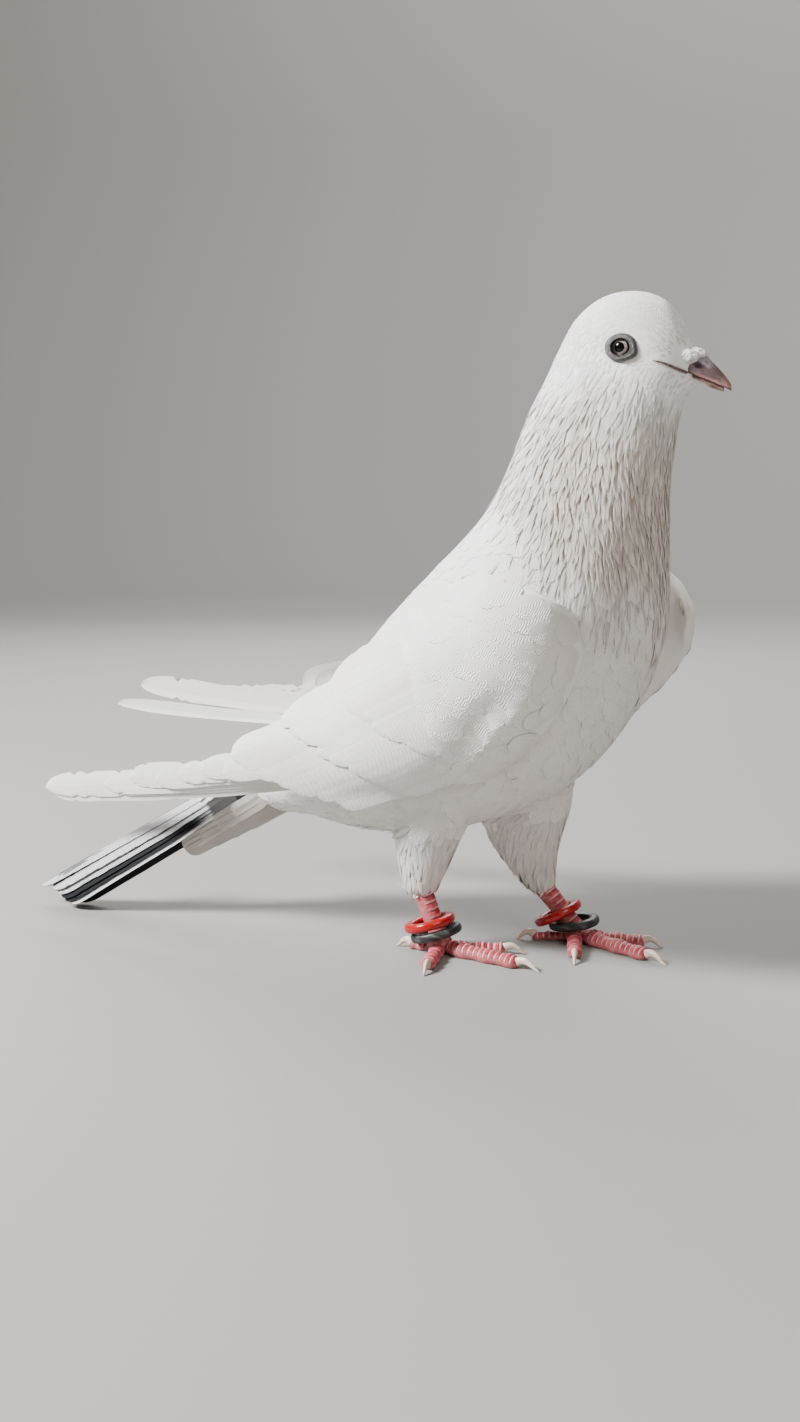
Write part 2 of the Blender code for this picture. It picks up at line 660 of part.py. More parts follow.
def make_tail():
    root, ahead, across, top, length = tail_axes()
    first = body_ring(0.0, -1.0, -1.5 * GAP)
    end_centre = root + ahead * 26.0 - top * 1.5
    last = []
    for k in range(BODY_SIDES):
        angle = 2 * math.pi * k / BODY_SIDES
        last.append(tuple(end_centre + across * 8.5 * math.cos(angle) + top * 4.0 * math.sin(angle)))
    middle = [tuple((Vector(a) * 0.45 + Vector(b) * 0.55)) for a, b in zip(first, last)]
    core = loft("tail", [first, middle, last], "tail")
    vanes = []
    ridge_root, ridge_tip = root + top * TAIL_RIDGE[0], root + ahead * length + top * TAIL_RIDGE[1]
    for side, word in ((-1, "right"), (1, "left")):
        drop = TAIL_DROP[word]
        fan = across * side * math.cos(drop) - top * math.sin(drop)
        normal = top * math.cos(drop) + across * side * math.sin(drop)
        for i, (edge_root, edge_tip, reach) in enumerate(TAIL_PAIRS):
            outer = 4.0 if i else 2.4
            layer = -0.95 * i - (0.45 if side == 1 else 0.0)
            start = ridge_root.lerp(ridge_tip, 0.12) + fan * (edge_root - outer) + normal * (layer * 0.6)
            end = ridge_root.lerp(ridge_tip, reach / length) + fan * (edge_tip - outer) + normal * layer
            inner = min(5.5, edge_tip - outer + 0.8)
            vanes.append(tail_vane(start, end, fan * side, normal, outer, inner, side, 0.0))
    for k in range(5):
        across_share = (k - 2) / 2
        start = root + ahead * 1.5 + across * 6.5 * across_share + top * (4.6 - 1.5 * abs(across_share))
        end = root + ahead * (40.0 - 7.0 * abs(across_share)) + across * 8.5 * across_share
        end += top * (3.6 - 3.2 * abs(across_share) + 0.9 * (k % 2))
        vanes.append(tail_vane(start, end, across, top, 4.2, 4.2, 1, 1.4))
        start = root - ahead * 3.0 + across * 6.0 * across_share - top * 10.0
        end = root + ahead * (31.0 - 5.0 * abs(across_share)) + across * (6.0 * across_share - 1.5)
        end -= top * (14.2 + 0.6 * (k % 2) - 1.5 * abs(across_share))
        vanes.append(tail_vane(start, end, across, top, 4.0, 4.0, 1, -3.6))
    boolean(core, vanes, "UNION")
    boolean(core, [grown_body(0.0, 2.0)], "DIFFERENCE")


# Legs and feet
def thigh_rings(sizes, grow=0.0, sides=14):
    rings = []
    table = sizes["thigh"]
    for i in range(2 * len(table) - 1):
        x, y, z, long, wide = smooth_row(table, i / 2)
        rings.append(
            [
                (
                    x + (long + grow) * math.cos(2 * math.pi * k / sides),
                    y + (wide + grow) * math.sin(2 * math.pi * k / sides),
                    z - (grow if i == 0 else 0.0),
                )
                for k in range(sides)
            ]
        )
    return rings


def toe(foot, angle, length, scutes, thick):
    """A toe whose upper side steps down from scute to scute."""
    heading = Vector((math.cos(angle), math.sin(angle), 0.0))
    start = Vector((foot[0], foot[1], 0.0))
    centres, radii, crest = [], [], []
    rows = 2 * scutes
    for i in range(rows + 1):
        share = i / rows
        knuckle = 0.25 * math.cos(6.5 * math.pi * share)
        radius = thick * (1.0 - 0.14 * share) + knuckle
        height = thick * 0.72 + 1.3 * max(0.0, 1 - share / 0.3) ** 2
        centres.append(start + heading * (length * share) + Vector((0, 0, height - 0.3 * share)))
        radii.append((radius, radius * TOE_FLATNESS))
        crest.append(TOE_SCUTE if i % 2 == 0 else 0.0)
    return tube("toe", centres, radii, 6, crest=crest, turn=0.0)


def claw_tube(name, foot, angle, length, reach, grow=0.0):
    """A curved horny claw at the toe's end, its tip at the floor."""
    heading = Vector((math.cos(angle), math.sin(angle), 0.0))
    start = Vector((foot[0], foot[1], 0.0)) + heading * (length - CLAW_SUNK - grow)
    centres, radii = [], []
    steps = 5
    for i in range(steps + 1):
        share = i / steps
        rise = 1.9 + 1.0 * math.sin(math.pi * min(1.0, share * 1.25)) - 1.75 * share**2.2
        centres.append(start + heading * reach * share + Vector((0, 0, rise)))
        radius = 1.35 * (1 - share) ** 0.7 + 0.28
        radii.append((radius * 0.8 + grow, radius + grow))
    return tube(name, centres, radii, 6, "horn", floor=0.0 if grow == 0.0 else None)


def make_leg(word, sizes):
    foot, hock = sizes["foot"], Vector(sizes["hock"])
    ankle = Vector((foot[0], foot[1], 4.6))
    lower = ankle + (hock - ankle) * 0.12
    above = hock + (hock - ankle) * 0.12
    reach = SHANK_RADIUS * 1.2 + GAP + TOE_SCUTE
    socket = tube("cutter", [lower, above], [(reach, reach)] * 2, 16, up=(1.0, 0.0, 0.3))
    thigh = loft(f"thigh_{word}", thigh_rings(sizes), "plumage")
    boolean(thigh, [grown_body(), socket], "DIFFERENCE")

    rows = 12
    centres = [lower.lerp(hock, i / rows) for i in range(rows + 1)]
    radii = [(SHANK_RADIUS * (0.9 + 0.12 * (i / rows) ** 2), SHANK_RADIUS * (1.0 + 0.2 * (i / rows) ** 2))
             for i in range(rows + 1)]
    crest = [TOE_SCUTE if i % 2 else 0.0 for i in range(rows + 1)]
    shank = tube(f"shank_{word}", centres, radii, 10, "skin", up=(1.0, 0.0, 0.3), crest=crest)

    knuckle = ball(f"foot_{word}", (foot[0], foot[1], 3.2), (4.2, 3.9, 3.6), "skin", 12, 6)
    toes, sockets = [], []
    for which, (angle, length) in sizes["toes"].items():
        toes.append(toe(foot, math.radians(angle), length, max(4, int(length / 3.0)), TOE_RADIUS[which]))
        claw_tube(f"claw_{word}_{which}", foot, math.radians(angle), length, CLAW_LENGTH[which])
        sockets.append(claw_tube("cutter", foot, math.radians(angle), length, CLAW_LENGTH[which], GAP))
    boolean(knuckle, toes, "UNION")
    sockets.append(box("cutter", (foot[0], foot[1], -10.0), (60.0, 60.0, 10.0)))
    boolean(knuckle, sockets, "DIFFERENCE")
    grown = tube(
        "cutter",
        [lower - (hock - ankle) * 0.02, hock],
        [(SHANK_RADIUS * 0.95 + GAP + TOE_SCUTE, SHANK_RADIUS + GAP + TOE_SCUTE)] * 2,
        16,
        up=(1.0, 0.0, 0.3),
    )
    boolean(knuckle, [grown], "DIFFERENCE")
    for colour, (centre, tilt) in sizes["rings"].items():
        leg_ring(f"ring_{colour}_{word}", centre, math.radians(tilt), f"ring_{colour}")
    return shank


def box(name, centre, half):
    corners = [
        tuple(c + s * h for c, s, h in zip(centre, signs, half))
        for signs in ((-1, -1, -1), (1, -1, -1), (1, 1, -1), (-1, 1, -1),
                      (-1, -1, 1), (1, -1, 1), (1, 1, 1), (-1, 1, 1))
    ]
    faces = [(0, 3, 2, 1), (4, 5, 6, 7), (0, 1, 5, 4), (1, 2, 6, 5), (2, 3, 7, 6), (3, 0, 4, 7)]
    return mesh_object(name, corners, faces)


def leg_ring(name, centre, tilt, finish):
    """A plastic leg ring: a flat band with round edges, its front tilted up."""
    turns = 18
    half_wall, middle = (RING_OUTER - RING_BORE) / 2, (RING_OUTER + RING_BORE) / 2
    section = [(-1.0, 0.0), (-0.5, -1.0), (0.5, -1.0), (1.0, 0.0), (0.5, 1.0), (-0.5, 1.0)]
    points, faces = [], []
    for i in range(turns):
        angle = 2 * math.pi * i / turns
        for across, rise in section:
            reach = middle + half_wall * across
            x, y, z = reach * math.cos(angle), reach * math.sin(angle), RING_HEIGHT / 2 * rise
            points.append(
                (
                    centre[0] + x * math.cos(tilt) - z * math.sin(tilt),
                    centre[1] + y,
                    centre[2] + x * math.sin(tilt) + z * math.cos(tilt),
                )
            )
    sides = len(section)
    for i in range(turns):
        for k in range(sides):
            a, b = i * sides + k, i * sides + (k + 1) % sides
            c, d = ((i + 1) % turns) * sides + (k + 1) % sides, ((i + 1) % turns) * sides + k
            faces.append((a, b, c, d))
    return mesh_object(name, points, faces, finish)


def centre_on_floor():
    """Moves the whole bird so that the middle of its box, seen from above, is at the origin."""
    low, high = Vector((1e9,) * 3), Vector((-1e9,) * 3)
    solids = [item for item in bpy.data.objects if item.type == "MESH"]
    for item in solids:
        for vertex in item.data.vertices:
            low = Vector(map(min, low, vertex.co))
            high = Vector(map(max, high, vertex.co))
    shift = Matrix.Translation((-(low.x + high.x) / 2, -(low.y + high.y) / 2, -low.z))
    for item in solids:
        item.data.transform(shift)
        item.data.update()


def main():
    clear_scene()
    body_piece("torso", 0.0, TORSO_END, 0.4, "plumage", shifts=(0.0, -GAP / 2))
    body_piece("neck", TORSO_END, NECK_END, 0.4, "plumage", shifts=(GAP / 2, -GAP / 2))
    make_head()
    make_bill()
    for word, sizes in LEGS.items():
        make_leg(word, sizes)
    for word, sizes in WINGS.items():
        clear = [grown_body(0.0, 9.0)]
        clear.append(loft("cutter", thigh_rings(LEGS[word], GAP)))
        make_wing(word, sizes, clear)
    make_tail()
    centre_on_floor()


main()
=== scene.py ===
"""Looks of the standing neelduma pigeon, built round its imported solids.

Lengths are in millimetres in the bird's own frame: X forward, Y to its left, Z up from the floor.
to_frame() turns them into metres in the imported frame.
"""

import math

import bmesh
import bpy
import numpy as np
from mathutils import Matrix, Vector


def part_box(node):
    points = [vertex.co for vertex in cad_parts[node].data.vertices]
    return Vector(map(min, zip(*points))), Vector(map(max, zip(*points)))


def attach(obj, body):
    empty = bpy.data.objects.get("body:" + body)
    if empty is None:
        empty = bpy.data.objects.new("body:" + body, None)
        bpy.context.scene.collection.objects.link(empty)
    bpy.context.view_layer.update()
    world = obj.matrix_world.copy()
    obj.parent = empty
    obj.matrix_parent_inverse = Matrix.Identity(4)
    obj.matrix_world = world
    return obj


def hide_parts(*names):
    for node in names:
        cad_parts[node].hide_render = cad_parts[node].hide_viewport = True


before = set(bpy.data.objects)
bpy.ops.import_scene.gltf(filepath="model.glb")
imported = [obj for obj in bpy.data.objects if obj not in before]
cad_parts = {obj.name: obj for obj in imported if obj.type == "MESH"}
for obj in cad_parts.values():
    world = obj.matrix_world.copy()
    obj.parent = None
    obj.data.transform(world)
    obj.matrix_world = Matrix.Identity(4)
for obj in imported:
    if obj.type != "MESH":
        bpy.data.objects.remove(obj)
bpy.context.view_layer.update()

MM = 0.001
SIDES = (("left", 1), ("right", -1))
EYE = np.array((42.5, 8.5, 187.5))  # centre of the left eye; the right one mirrors it
EYE_RADIUS = 4.6
RIGHT_EYE_BOX = np.array(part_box("eye_right"))
SHIFT = RIGHT_EYE_BOX.mean(axis=0) / MM - EYE * (1, -1, 1)

# Body outline: (back x, back z, belly x, belly z, half width) from the rump to the root of the bill.
BODY = np.array([
    (-87.0, 56.5, -77.0, 38.5, 13.5),
    (-70.0, 70.0, -60.0, 38.0, 21.5),
    (-50.0, 88.0, -40.0, 35.0, 30.0),
    (-31.0, 109.2, -18.0, 36.5, 37.5),
    (-16.0, 124.6, 6.0, 43.5, 40.5),
    (-4.5, 136.0, 28.5, 56.5, 40.5),
    (3.5, 147.0, 46.0, 79.0, 37.5),
    (7.5, 157.0, 54.4, 103.0, 32.0),
    (10.0, 165.5, 54.9, 126.0, 25.0),
    (13.0, 173.5, 55.0, 146.0, 20.0),
    (16.5, 181.5, 57.0, 163.0, 16.6),
    (20.5, 190.0, 59.2, 172.5, 14.2),
    (26.0, 198.5, 60.6, 175.6, 12.8),
    (34.5, 204.2, 60.6, 176.0, 11.8),
    (44.0, 205.3, 61.4, 176.3, 9.4),
    (52.8, 202.3, 62.0, 176.6, 6.2),
    (58.2, 195.5, 63.0, 177.0, 3.7),
    (60.8, 189.8, 63.9, 177.6, 2.4),
])
BODY_SQUARENESS = 2.25
NECK_FOOT = 6.4  # stations, in rows of BODY, between which the neck's streaked feathers grow
NECK_TOP = 10.7
SKIN_SIDES = 72
SKIN_VOXEL = 1.1
COAT_DEPTH = 0.9  # the skin lies this far inside the solids
FACE_DEPTH = 0.35
SOCKET_DEPTH = 2.0  # and this much further round the eye

# The folded wings: wrist and tip in the side view, distances out from the middle plane, and the primaries
# from the lowest up: (distance of the tip along the wing, height of the tip, width, bow).
WINGS = {
    "right": {
        "side": -1, "wrist": (38.5, 104.0), "tip": (-159.5, 46.0), "out_wrist": 46.0, "out_tip": 25.0,
        "front": 0.6, "low_root": -27.0, "tertial": (124.0, -8.0),
        "primaries": [(198.5, -5.2, 6.0, 2.7), (204.5, -4.6, 8.5, 2.0), (206.6, -2.2, 9.0, 1.6),
                      (180.0, -6.6, 8.5, 1.6), (168.0, -6.4, 8.5, 1.4), (157.0, -9.2, 8.5, 1.2),
                      (147.0, -9.6, 8.5, 1.0), (137.0, -9.8, 8.5, 0.8), (128.0, -12.5, 8.5, 0.6)],
    },
    "left": {
        "side": 1, "wrist": (51.0, 107.0), "tip": (-156.5, 72.0), "out_wrist": 48.0, "out_tip": 24.0,
        "front": -4.0, "low_root": -31.3, "tertial": (138.5, -5.4),
        "primaries": [(210.6, -3.0, 5.0, 2.9), (200.5, 2.6, 8.5, 2.8), (181.0, -4.4, 8.5, 2.2),
                      (174.0, -5.4, 8.5, 2.0), (166.0, -6.4, 8.5, 1.8), (158.0, -7.6, 8.5, 1.5),
                      (150.0, -9.0, 8.5, 1.2), (144.0, -10.4, 8.5, 0.9), (138.0, -11.6, 8.5, 0.6)],
    },
}
# Edges of the folded wing: (distance along it from the wrist, distance up from its axis).
WING_LOW = {
    "right": [
        (1.0, -2.0), (3.6, -8.0), (9.2, -15.0), (15.5, -21.0), (24.0, -27.0), (38.0, -32.5), (62.0, -31.0),
        (84.0, -28.0),
    ],
    "left": [
        (-3.5, -2.0), (0.0, -11.6), (9.0, -21.5), (24.0, -33.0), (41.0, -37.7), (62.0, -36.0), (84.0, -32.5),
    ],
}
WING_UP = {
    "right": [(1.0, 3.0), (3.2, 11.0), (8.8, 16.5), (20.0, 24.5), (41.0, 25.0), (62.0, 17.0), (84.0, 7.0)],
    "left": [(-3.5, 2.0), (0.0, 10.0), (7.0, 18.0), (20.0, 25.0), (41.0, 25.0), (62.0, 17.0), (84.0, 7.0)],
}
WING_GROOVE = np.array([(10, -7), (16.4, -10.5), (28, -15.3), (36.9, -22), (48.8, -30.4), (60, -35)], float)
GROOVE_DEPTH = 2.4
ROLL_RADIUS = 8.0  # of the wing's rounded front edge
ROLL_REACH = {-1: 11.0, 1: 3.0}  # how far that edge may fall towards the body, on the right and the left
PAD_THICKNESS = 11.5

TAIL_ROOT = np.array((-84.0, -3.0, 49.0))
TAIL_TIP = np.array((-167.0, -16.0, 8.0))
TAIL_RIDGE = (8.5, -1.2)  # height of the top feather's shaft over the tail's axis, at its root and tip
TAIL_DROP = {"right": math.radians(45.0), "left": math.radians(66.0)}
# Each pair from the middle out: its outer edge's distance from the ridge at root and tip, and its length.
TAIL_PAIRS = [(7.5, 2.8, 93.5), (10.5, 7.4, 89.0), (12.2, 9.6, 87.0), (13.4, 11.6, 86.0), (14.6, 13.2, 85.0),
              (15.6, 14.6, 83.5)]

THIGHS = {
    "right": [(-18.4, -16.6, 19.5, 5.4, 4.4), (-17.4, -17.2, 28, 8.8, 6.6), (-15.6, -18.2, 37, 11.6, 8.6),
              (-13.6, -19.6, 48, 14.4, 10.8), (-10, -20, 62, 16, 12)],
    "left": [(13, 14, 15.9, 4.8, 3.9), (8.6, 14.4, 24, 9.2, 6.2), (5.6, 15.4, 33, 13.4, 8.4),
             (4.6, 17.4, 45, 17.4, 10.6), (4.6, 19, 60, 18, 12)],
}


# Numbers and curves
def to_frame(points):
    return (np.asarray(points, float) + SHIFT) * MM


def smooth_row(table, t):
    """Catmull-Rom value at t, counted in rows, of a table of equally long rows."""
    rows = np.asarray(table, float)
    i = int(min(max(math.floor(t), 0), len(rows) - 2))
    u = t - i
    before, start, end = rows[max(i - 1, 0)], rows[i], rows[i + 1]
    after = rows[min(i + 2, len(rows) - 1)]
    return 0.5 * (
        2 * start
        + (end - before) * u
        + (2 * before - 5 * start + 4 * end - after) * u * u
        + (3 * start - before - 3 * end + after) * u**3
    )


def ramp(value, start, end):
    """0 before start, 1 after end and a smooth rise between."""
    share = np.clip((np.asarray(value, float) - start) / (end - start), 0.0, 1.0)
    return share * share * (3 - 2 * share)


def unit(vectors):
    vectors = np.asarray(vectors, float)
    return vectors / np.maximum(np.linalg.norm(vectors, axis=-1, keepdims=True), 1e-9)


# Meshes
def show(name, data):
    """A new object of the scene, unturned at the origin."""
    made = bpy.data.objects.new(name, data)
    bpy.context.scene.collection.objects.link(made)
    return made


def wear(item, slot, *nodes):
    """Fixes a piece to the bird and hides the solids that it stands for; its material slot is not used."""
    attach(item, "root")
    if nodes:
        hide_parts(*nodes)


def solid(name, points, faces, material=None, sharp=50.0):
    """One object from points in millimetres, with closed shells turned outwards."""
    mesh = bpy.data.meshes.new(name)
    mesh.from_pydata(to_frame(points).tolist(), [], [tuple(int(i) for i in f) for f in faces])
    work = bmesh.new()
    work.from_mesh(mesh)
    bmesh.ops.recalc_face_normals(work, faces=work.faces)
    work.to_mesh(mesh)
    work.free()
    mesh.shade_smooth()
    mesh.set_sharp_from_angle(angle=math.radians(sharp))
    if material:
        mesh.materials.append(material)
    return show(name, mesh)


def ring_faces(rings, sides, closed_ends=True):
    faces = []
    for i in range(rings - 1):
        for k in range(sides):
            a, b = i * sides + k, i * sides + (k + 1) % sides
            faces.append((a, b, b + sides, a + sides))
    if closed_ends:
        faces.append(tuple(range(sides))[::-1])
        faces.append(tuple((rings - 1) * sides + k for k in range(sides)))
    return faces


def leaf_quads(rows, columns, first):
    """Faces of a closed leaf: an upper grid, and a lower one that shares its rim."""
    upper = first + np.arange(rows * columns).reshape(rows, columns)
    lower = upper.copy()
    inner = np.arange((rows - 2) * (columns - 2)).reshape(rows - 2, columns - 2)
    lower[1:-1, 1:-1] = first + rows * columns + inner
    faces = []
    for grid, turned in ((upper, False), (lower, True)):
        quads = np.stack([grid[:-1, :-1], grid[:-1, 1:], grid[1:, 1:], grid[1:, :-1]], -1).reshape(-1, 4)
        faces.append(quads[:, ::-1] if turned else quads)
    return np.concatenate(faces)


def hoop_faces(turns, sides):
    """Faces of a closed hoop of rings."""
    faces = []
    for i in range(turns):
        for k in range(sides):
            here, ahead, beside = i * sides, (i + 1) % turns * sides, (k + 1) % sides
            faces.append((here + k, here + beside, ahead + beside, ahead + k))
    return faces


def on_floor(points):
    """Points, with those below the floor brought up to it."""
    return [np.array((p[0], p[1], max(p[2], 0.0))) for p in points]


def tube(centres, radii, sides, up=(0.0, 0.0, 1.0), shape=None):
    """Rings along centres; radii are (sideways, upwards), and shape(i, angle) adds to the reach."""
    centres, up = np.asarray(centres, float), np.asarray(up, float)
    ahead = unit(np.gradient(centres, axis=0))
    across = unit(np.cross(ahead, up))
    rise = unit(np.cross(across, ahead))
    points = []
    for i, centre in enumerate(centres):
        for k in range(sides):
            angle = 2 * math.pi * k / sides
            extra = shape(i, angle) if shape else 0.0
            reach = across[i] * math.cos(angle) * (radii[i][0] + extra)
            points.append(centre + reach + rise[i] * math.sin(angle) * (radii[i][1] + extra))
    return points, ring_faces(len(centres), sides)


def bake_modifiers(item):
    """Turns the evaluated object into a plain mesh."""
    bpy.context.view_layer.update()
    graph = bpy.context.evaluated_depsgraph_get()
    mesh = bpy.data.meshes.new_from_object(item.evaluated_get(graph))
    item.modifiers.clear()
    item.data = mesh
    mesh.name = item.name


def read_points(mesh):
    """A mesh's points in the bird's millimetres."""
    flat = np.zeros(len(mesh.vertices) * 3, np.float32)
    mesh.vertices.foreach_get("co", flat)
    return flat.reshape(-1, 3).astype(float) / MM - SHIFT


def read_normals(mesh):
    flat = np.zeros(len(mesh.vertices) * 3, np.float32)
    mesh.vertex_normals.foreach_get("vector", flat)
    return flat.reshape(-1, 3).astype(float)


def set_attribute(mesh, name, values):
    """Stores a number or a vector for each point."""
    values = np.asarray(values, np.float32)
    kind, key = ("FLOAT", "value") if values.ndim == 1 else ("FLOAT_VECTOR", "vector")
    made = mesh.attributes.new(name, kind, "POINT")
    made.data.foreach_set(key, values.ravel())


def set_corner_map(mesh, name, places):
    """A UV map from a place for each point."""
    corners = np.zeros(len(mesh.loops), np.int32)
    mesh.loops.foreach_get("vertex_index", corners)
    made = mesh.uv_layers.new(name=name)
    made.uv.foreach_set("vector", np.asarray(places, np.float32)[corners].ravel())


# Node trees
def socket(sockets, name):
    return next(s for s in sockets if s.name == name and s.enabled)


def add_node(tree, kind, inputs=(), **settings):
    """A node with its settings, its inputs given as values or as the sockets that feed them."""
    made = tree.nodes.new(kind)
    for key, value in settings.items():
        setattr(made, key, value)
    for key, value in dict(inputs).items():
        target = made.inputs[key] if isinstance(key, int) else socket(made.inputs, key)
        if isinstance(value, bpy.types.NodeSocket):
            tree.links.new(value, target)
        else:
            target.default_value = value
    return made


def arithmetic(tree, operation, a, b):
    return add_node(tree, "ShaderNodeMath", {0: a, 1: b}, operation=operation).outputs[0]


def vector_math(tree, operation, a, b=None, scale=None):
    inputs = {0: a}
    if b is not None:
        inputs[1] = b
    if scale is not None:
        inputs["Scale"] = scale
    return add_node(tree, "ShaderNodeVectorMath", inputs, operation=operation).outputs[0]


class Finish:
    """A Principled material, with short calls for the nodes that its detail needs."""

    def __init__(self, name, roughness=0.6, **sockets):
        self.material = bpy.data.materials.new(name)
        self.material.use_nodes = True
        self.tree = self.material.node_tree
        self.shader = self.tree.nodes["Principled BSDF"]
        self.shader.inputs["Roughness"].default_value = roughness
        for key, value in sockets.items():
            self.shader.inputs[key.replace("_", " ")].default_value = value
        self.place = add_node(self.tree, "ShaderNodeTexCoord").outputs["Object"]

    def noise(self, scale, detail, place=None, stretch=None):
        source = place or self.place
        if stretch:
            inputs = {"Vector": source, "Scale": stretch}
            source = add_node(self.tree, "ShaderNodeMapping", inputs).outputs[0]
        inputs = {"Vector": source, "Scale": scale, "Detail": detail}
        return add_node(self.tree, "ShaderNodeTexNoise", inputs).outputs["Fac"]

    def cells(self, scale):
        """Distance from the edges of small cells."""
        inputs = {"Vector": self.place, "Scale": scale}
        made = add_node(self.tree, "ShaderNodeTexVoronoi", inputs, feature="DISTANCE_TO_EDGE")
        return made.outputs["Distance"]

    def value(self, name):
        return add_node(self.tree, "ShaderNodeAttribute", attribute_name=name).outputs["Fac"]

    def map(self, name):
        return add_node(self.tree, "ShaderNodeUVMap", uv_map=name).outputs["UV"]

    def window(self, value, start, end, low=0.0, high=1.0):
        names = ("Value", "From Min", "From Max", "To Min", "To Max")
        inputs = dict(zip(names, (value, start, end, low, high)))
        return add_node(self.tree, "ShaderNodeMapRange", inputs, interpolation_type="SMOOTHSTEP").outputs[0]

    def math(self, operation, a, b=0.0):
        return arithmetic(self.tree, operation, a, b)

    def times(self, a, b):
        return self.math("MULTIPLY", a, b)

    def plus(self, a, b):
        return self.math("ADD", a, b)

    def mix(self, share, first, second):
        """A colour between two, each given as three numbers or as the socket that feeds it."""
        made = self.tree.nodes.new("ShaderNodeMix")
        made.data_type = "RGBA"
        for key, value in (("Factor", share), ("A", first), ("B", second)):
            target = socket(made.inputs, key)
            if isinstance(value, tuple):
                target.default_value = (*value, 1.0)
            else:
                self.tree.links.new(value, target)
        return socket(made.outputs, "Result")

    def colour(self, source):
        self.tree.links.new(source, self.shader.inputs["Base Color"])

    def roughness(self, source):
        self.tree.links.new(source, self.shader.inputs["Roughness"])

    def bump(self, *layers):
        """Layers of (height, distance in millimetres), laid over one another."""
        normal = None
        for height, distance in layers:
            inputs = {"Height": height, "Distance": distance * MM, "Strength": 1.0}
            if normal:
                inputs["Normal"] = normal
            normal = add_node(self.tree, "ShaderNodeBump", inputs).outputs[0]
        self.tree.links.new(normal, self.shader.inputs["Normal"])


def barbs(finish, across, along, spacing, slope):
    """Fine parallel lines that run slantwise from a feather's shaft to its edges."""
    slant = finish.math("SUBTRACT", along, finish.times(finish.math("ABSOLUTE", across), slope))
    return finish.math("SINE", finish.times(slant, 2 * math.pi / spacing))


WHITE = (0.87, 0.865, 0.85)
CREAM = (0.76, 0.7, 0.62)
# colour of down at a feather's root, also laid on as painted shade between the body's feathers
DOWN_AND_SHADE = (0.5, 0.42, 0.34)


def coat_finish(name, root_shade, ruffle, lines):
    """White body feathers with fine barbs and a little cream that varies at random; painted shade lays on
    more cream and the darker colour of down at the roots.
    """
    made = Finish(name, roughness=0.75, Sheen_Weight=0.15, Sheen_Roughness=0.6)
    along, across, shade, warm = (made.value(name) for name in ("along", "across", "shade", "warm"))
    # painted shade: the roots darken and the cream deepens where the skin's painted shade value is high
    root = made.times(made.window(along, 0.15, 0.75, 1.0, 0.0), root_shade)
    root = made.times(root, warm)
    patch = made.window(made.noise(28.0, 3.0), 0.42, 0.72, 0.0, 0.25)
    tint = made.plus(made.times(warm, 0.6), made.times(shade, ruffle))
    tint = made.plus(tint, patch)
    colour = made.mix(root, made.mix(tint, WHITE, CREAM), DOWN_AND_SHADE)
    made.colour(colour)
    made.roughness(made.window(made.noise(900.0, 2.0), 0.3, 0.7, 0.62, 0.85))
    strands = barbs(made, across, along, lines, 0.35)
    made.bump((strands, 0.05), (made.noise(2500.0, 2.0), 0.05))
    return made.material


def flight_finish(name, light, tinted):
    """Pale flight feathers and coverts: fine slanting barbs either side of a shaft."""
    made = Finish(name, roughness=0.6, Sheen_Weight=0.1)
    along, shade = made.value("along"), made.value("shade")
    place = add_node(made.tree, "ShaderNodeSeparateXYZ", {0: made.map("vane")})
    across, run = place.outputs[0], place.outputs[1]
    patch = made.window(made.noise(35.0, 3.0), 0.42, 0.72, 0.0, 0.3)
    streak = made.noise(9.0, 3.0, made.map("vane"), (1.0, 6.0, 1.0))
    tint = made.plus(patch, made.times(shade, 0.22))
    # the root half darkens towards the colour of down, which the body coat also uses for painted shade
    colour = made.mix(made.times(made.window(along, 0.0, 0.5, 1.0, 0.0), 0.35),
                      made.mix(tint, light, tinted), DOWN_AND_SHADE)
    shaft = made.window(made.math("ABSOLUTE", across), 0.02, 0.07, 1.0, 0.0)
    colour = made.mix(made.times(shaft, 0.35), colour, tinted)
    made.colour(colour)
    made.roughness(made.window(streak, 0.3, 0.7, 0.5, 0.72))
    made.bump((barbs(made, across, run, 0.055, 0.9), 0.04), (streak, 0.12))
    return made.material


def tail_finish():
    """Tail feathers by pair: the middle ones pale, the next black, the last black with a white edge."""
    made = Finish("tail_vanes", roughness=0.7, Specular_IOR_Level=0.1)
    along, pair, web = made.value("along"), made.value("shade"), made.value("web")
    place = add_node(made.tree, "ShaderNodeSeparateXYZ", {0: made.map("vane")})
    across, run = place.outputs[0], place.outputs[1]
    streak = made.noise(7.0, 3.0, made.map("vane"), (3.0, 0.6, 1.0))
    edge = made.plus(web, made.window(streak, 0.3, 0.7, -0.05, 0.05))
    first = made.window(pair, 0.04, 0.06, 1.0, 0.0)
    second = made.times(made.window(pair, 0.14, 0.16, 1.0, 0.0), made.window(edge, -0.1, 0.15))
    second = made.times(second, made.window(edge, 0.78, 0.92, 1.0, 0.0))
    third = made.times(made.window(pair, 0.14, 0.16), made.window(pair, 0.24, 0.26, 1.0, 0.0))
    second = made.math("MAXIMUM", second, made.times(third, 0.85))
    last = made.times(made.window(pair, 0.44, 0.46), made.window(edge, 0.45, 0.6))
    pale = made.math("MAXIMUM", made.math("MAXIMUM", first, second), last)
    pale = made.math("MAXIMUM", pale, made.window(along, 0.06, 0.24, 0.7, 0.0))
    dark = made.mix(made.window(streak, 0.3, 0.7), (0.003, 0.0034, 0.004), (0.012, 0.0125, 0.015))
    light = made.mix(made.window(streak, 0.3, 0.8), (0.6, 0.59, 0.6), (0.4, 0.395, 0.415))
    colour = made.mix(pale, dark, light)
    made.colour(colour)
    made.roughness(made.window(streak, 0.3, 0.7, 0.4, 0.6))
    made.bump((barbs(made, across, run, 0.055, 0.9), 0.04), (streak, 0.08))
    return made.material


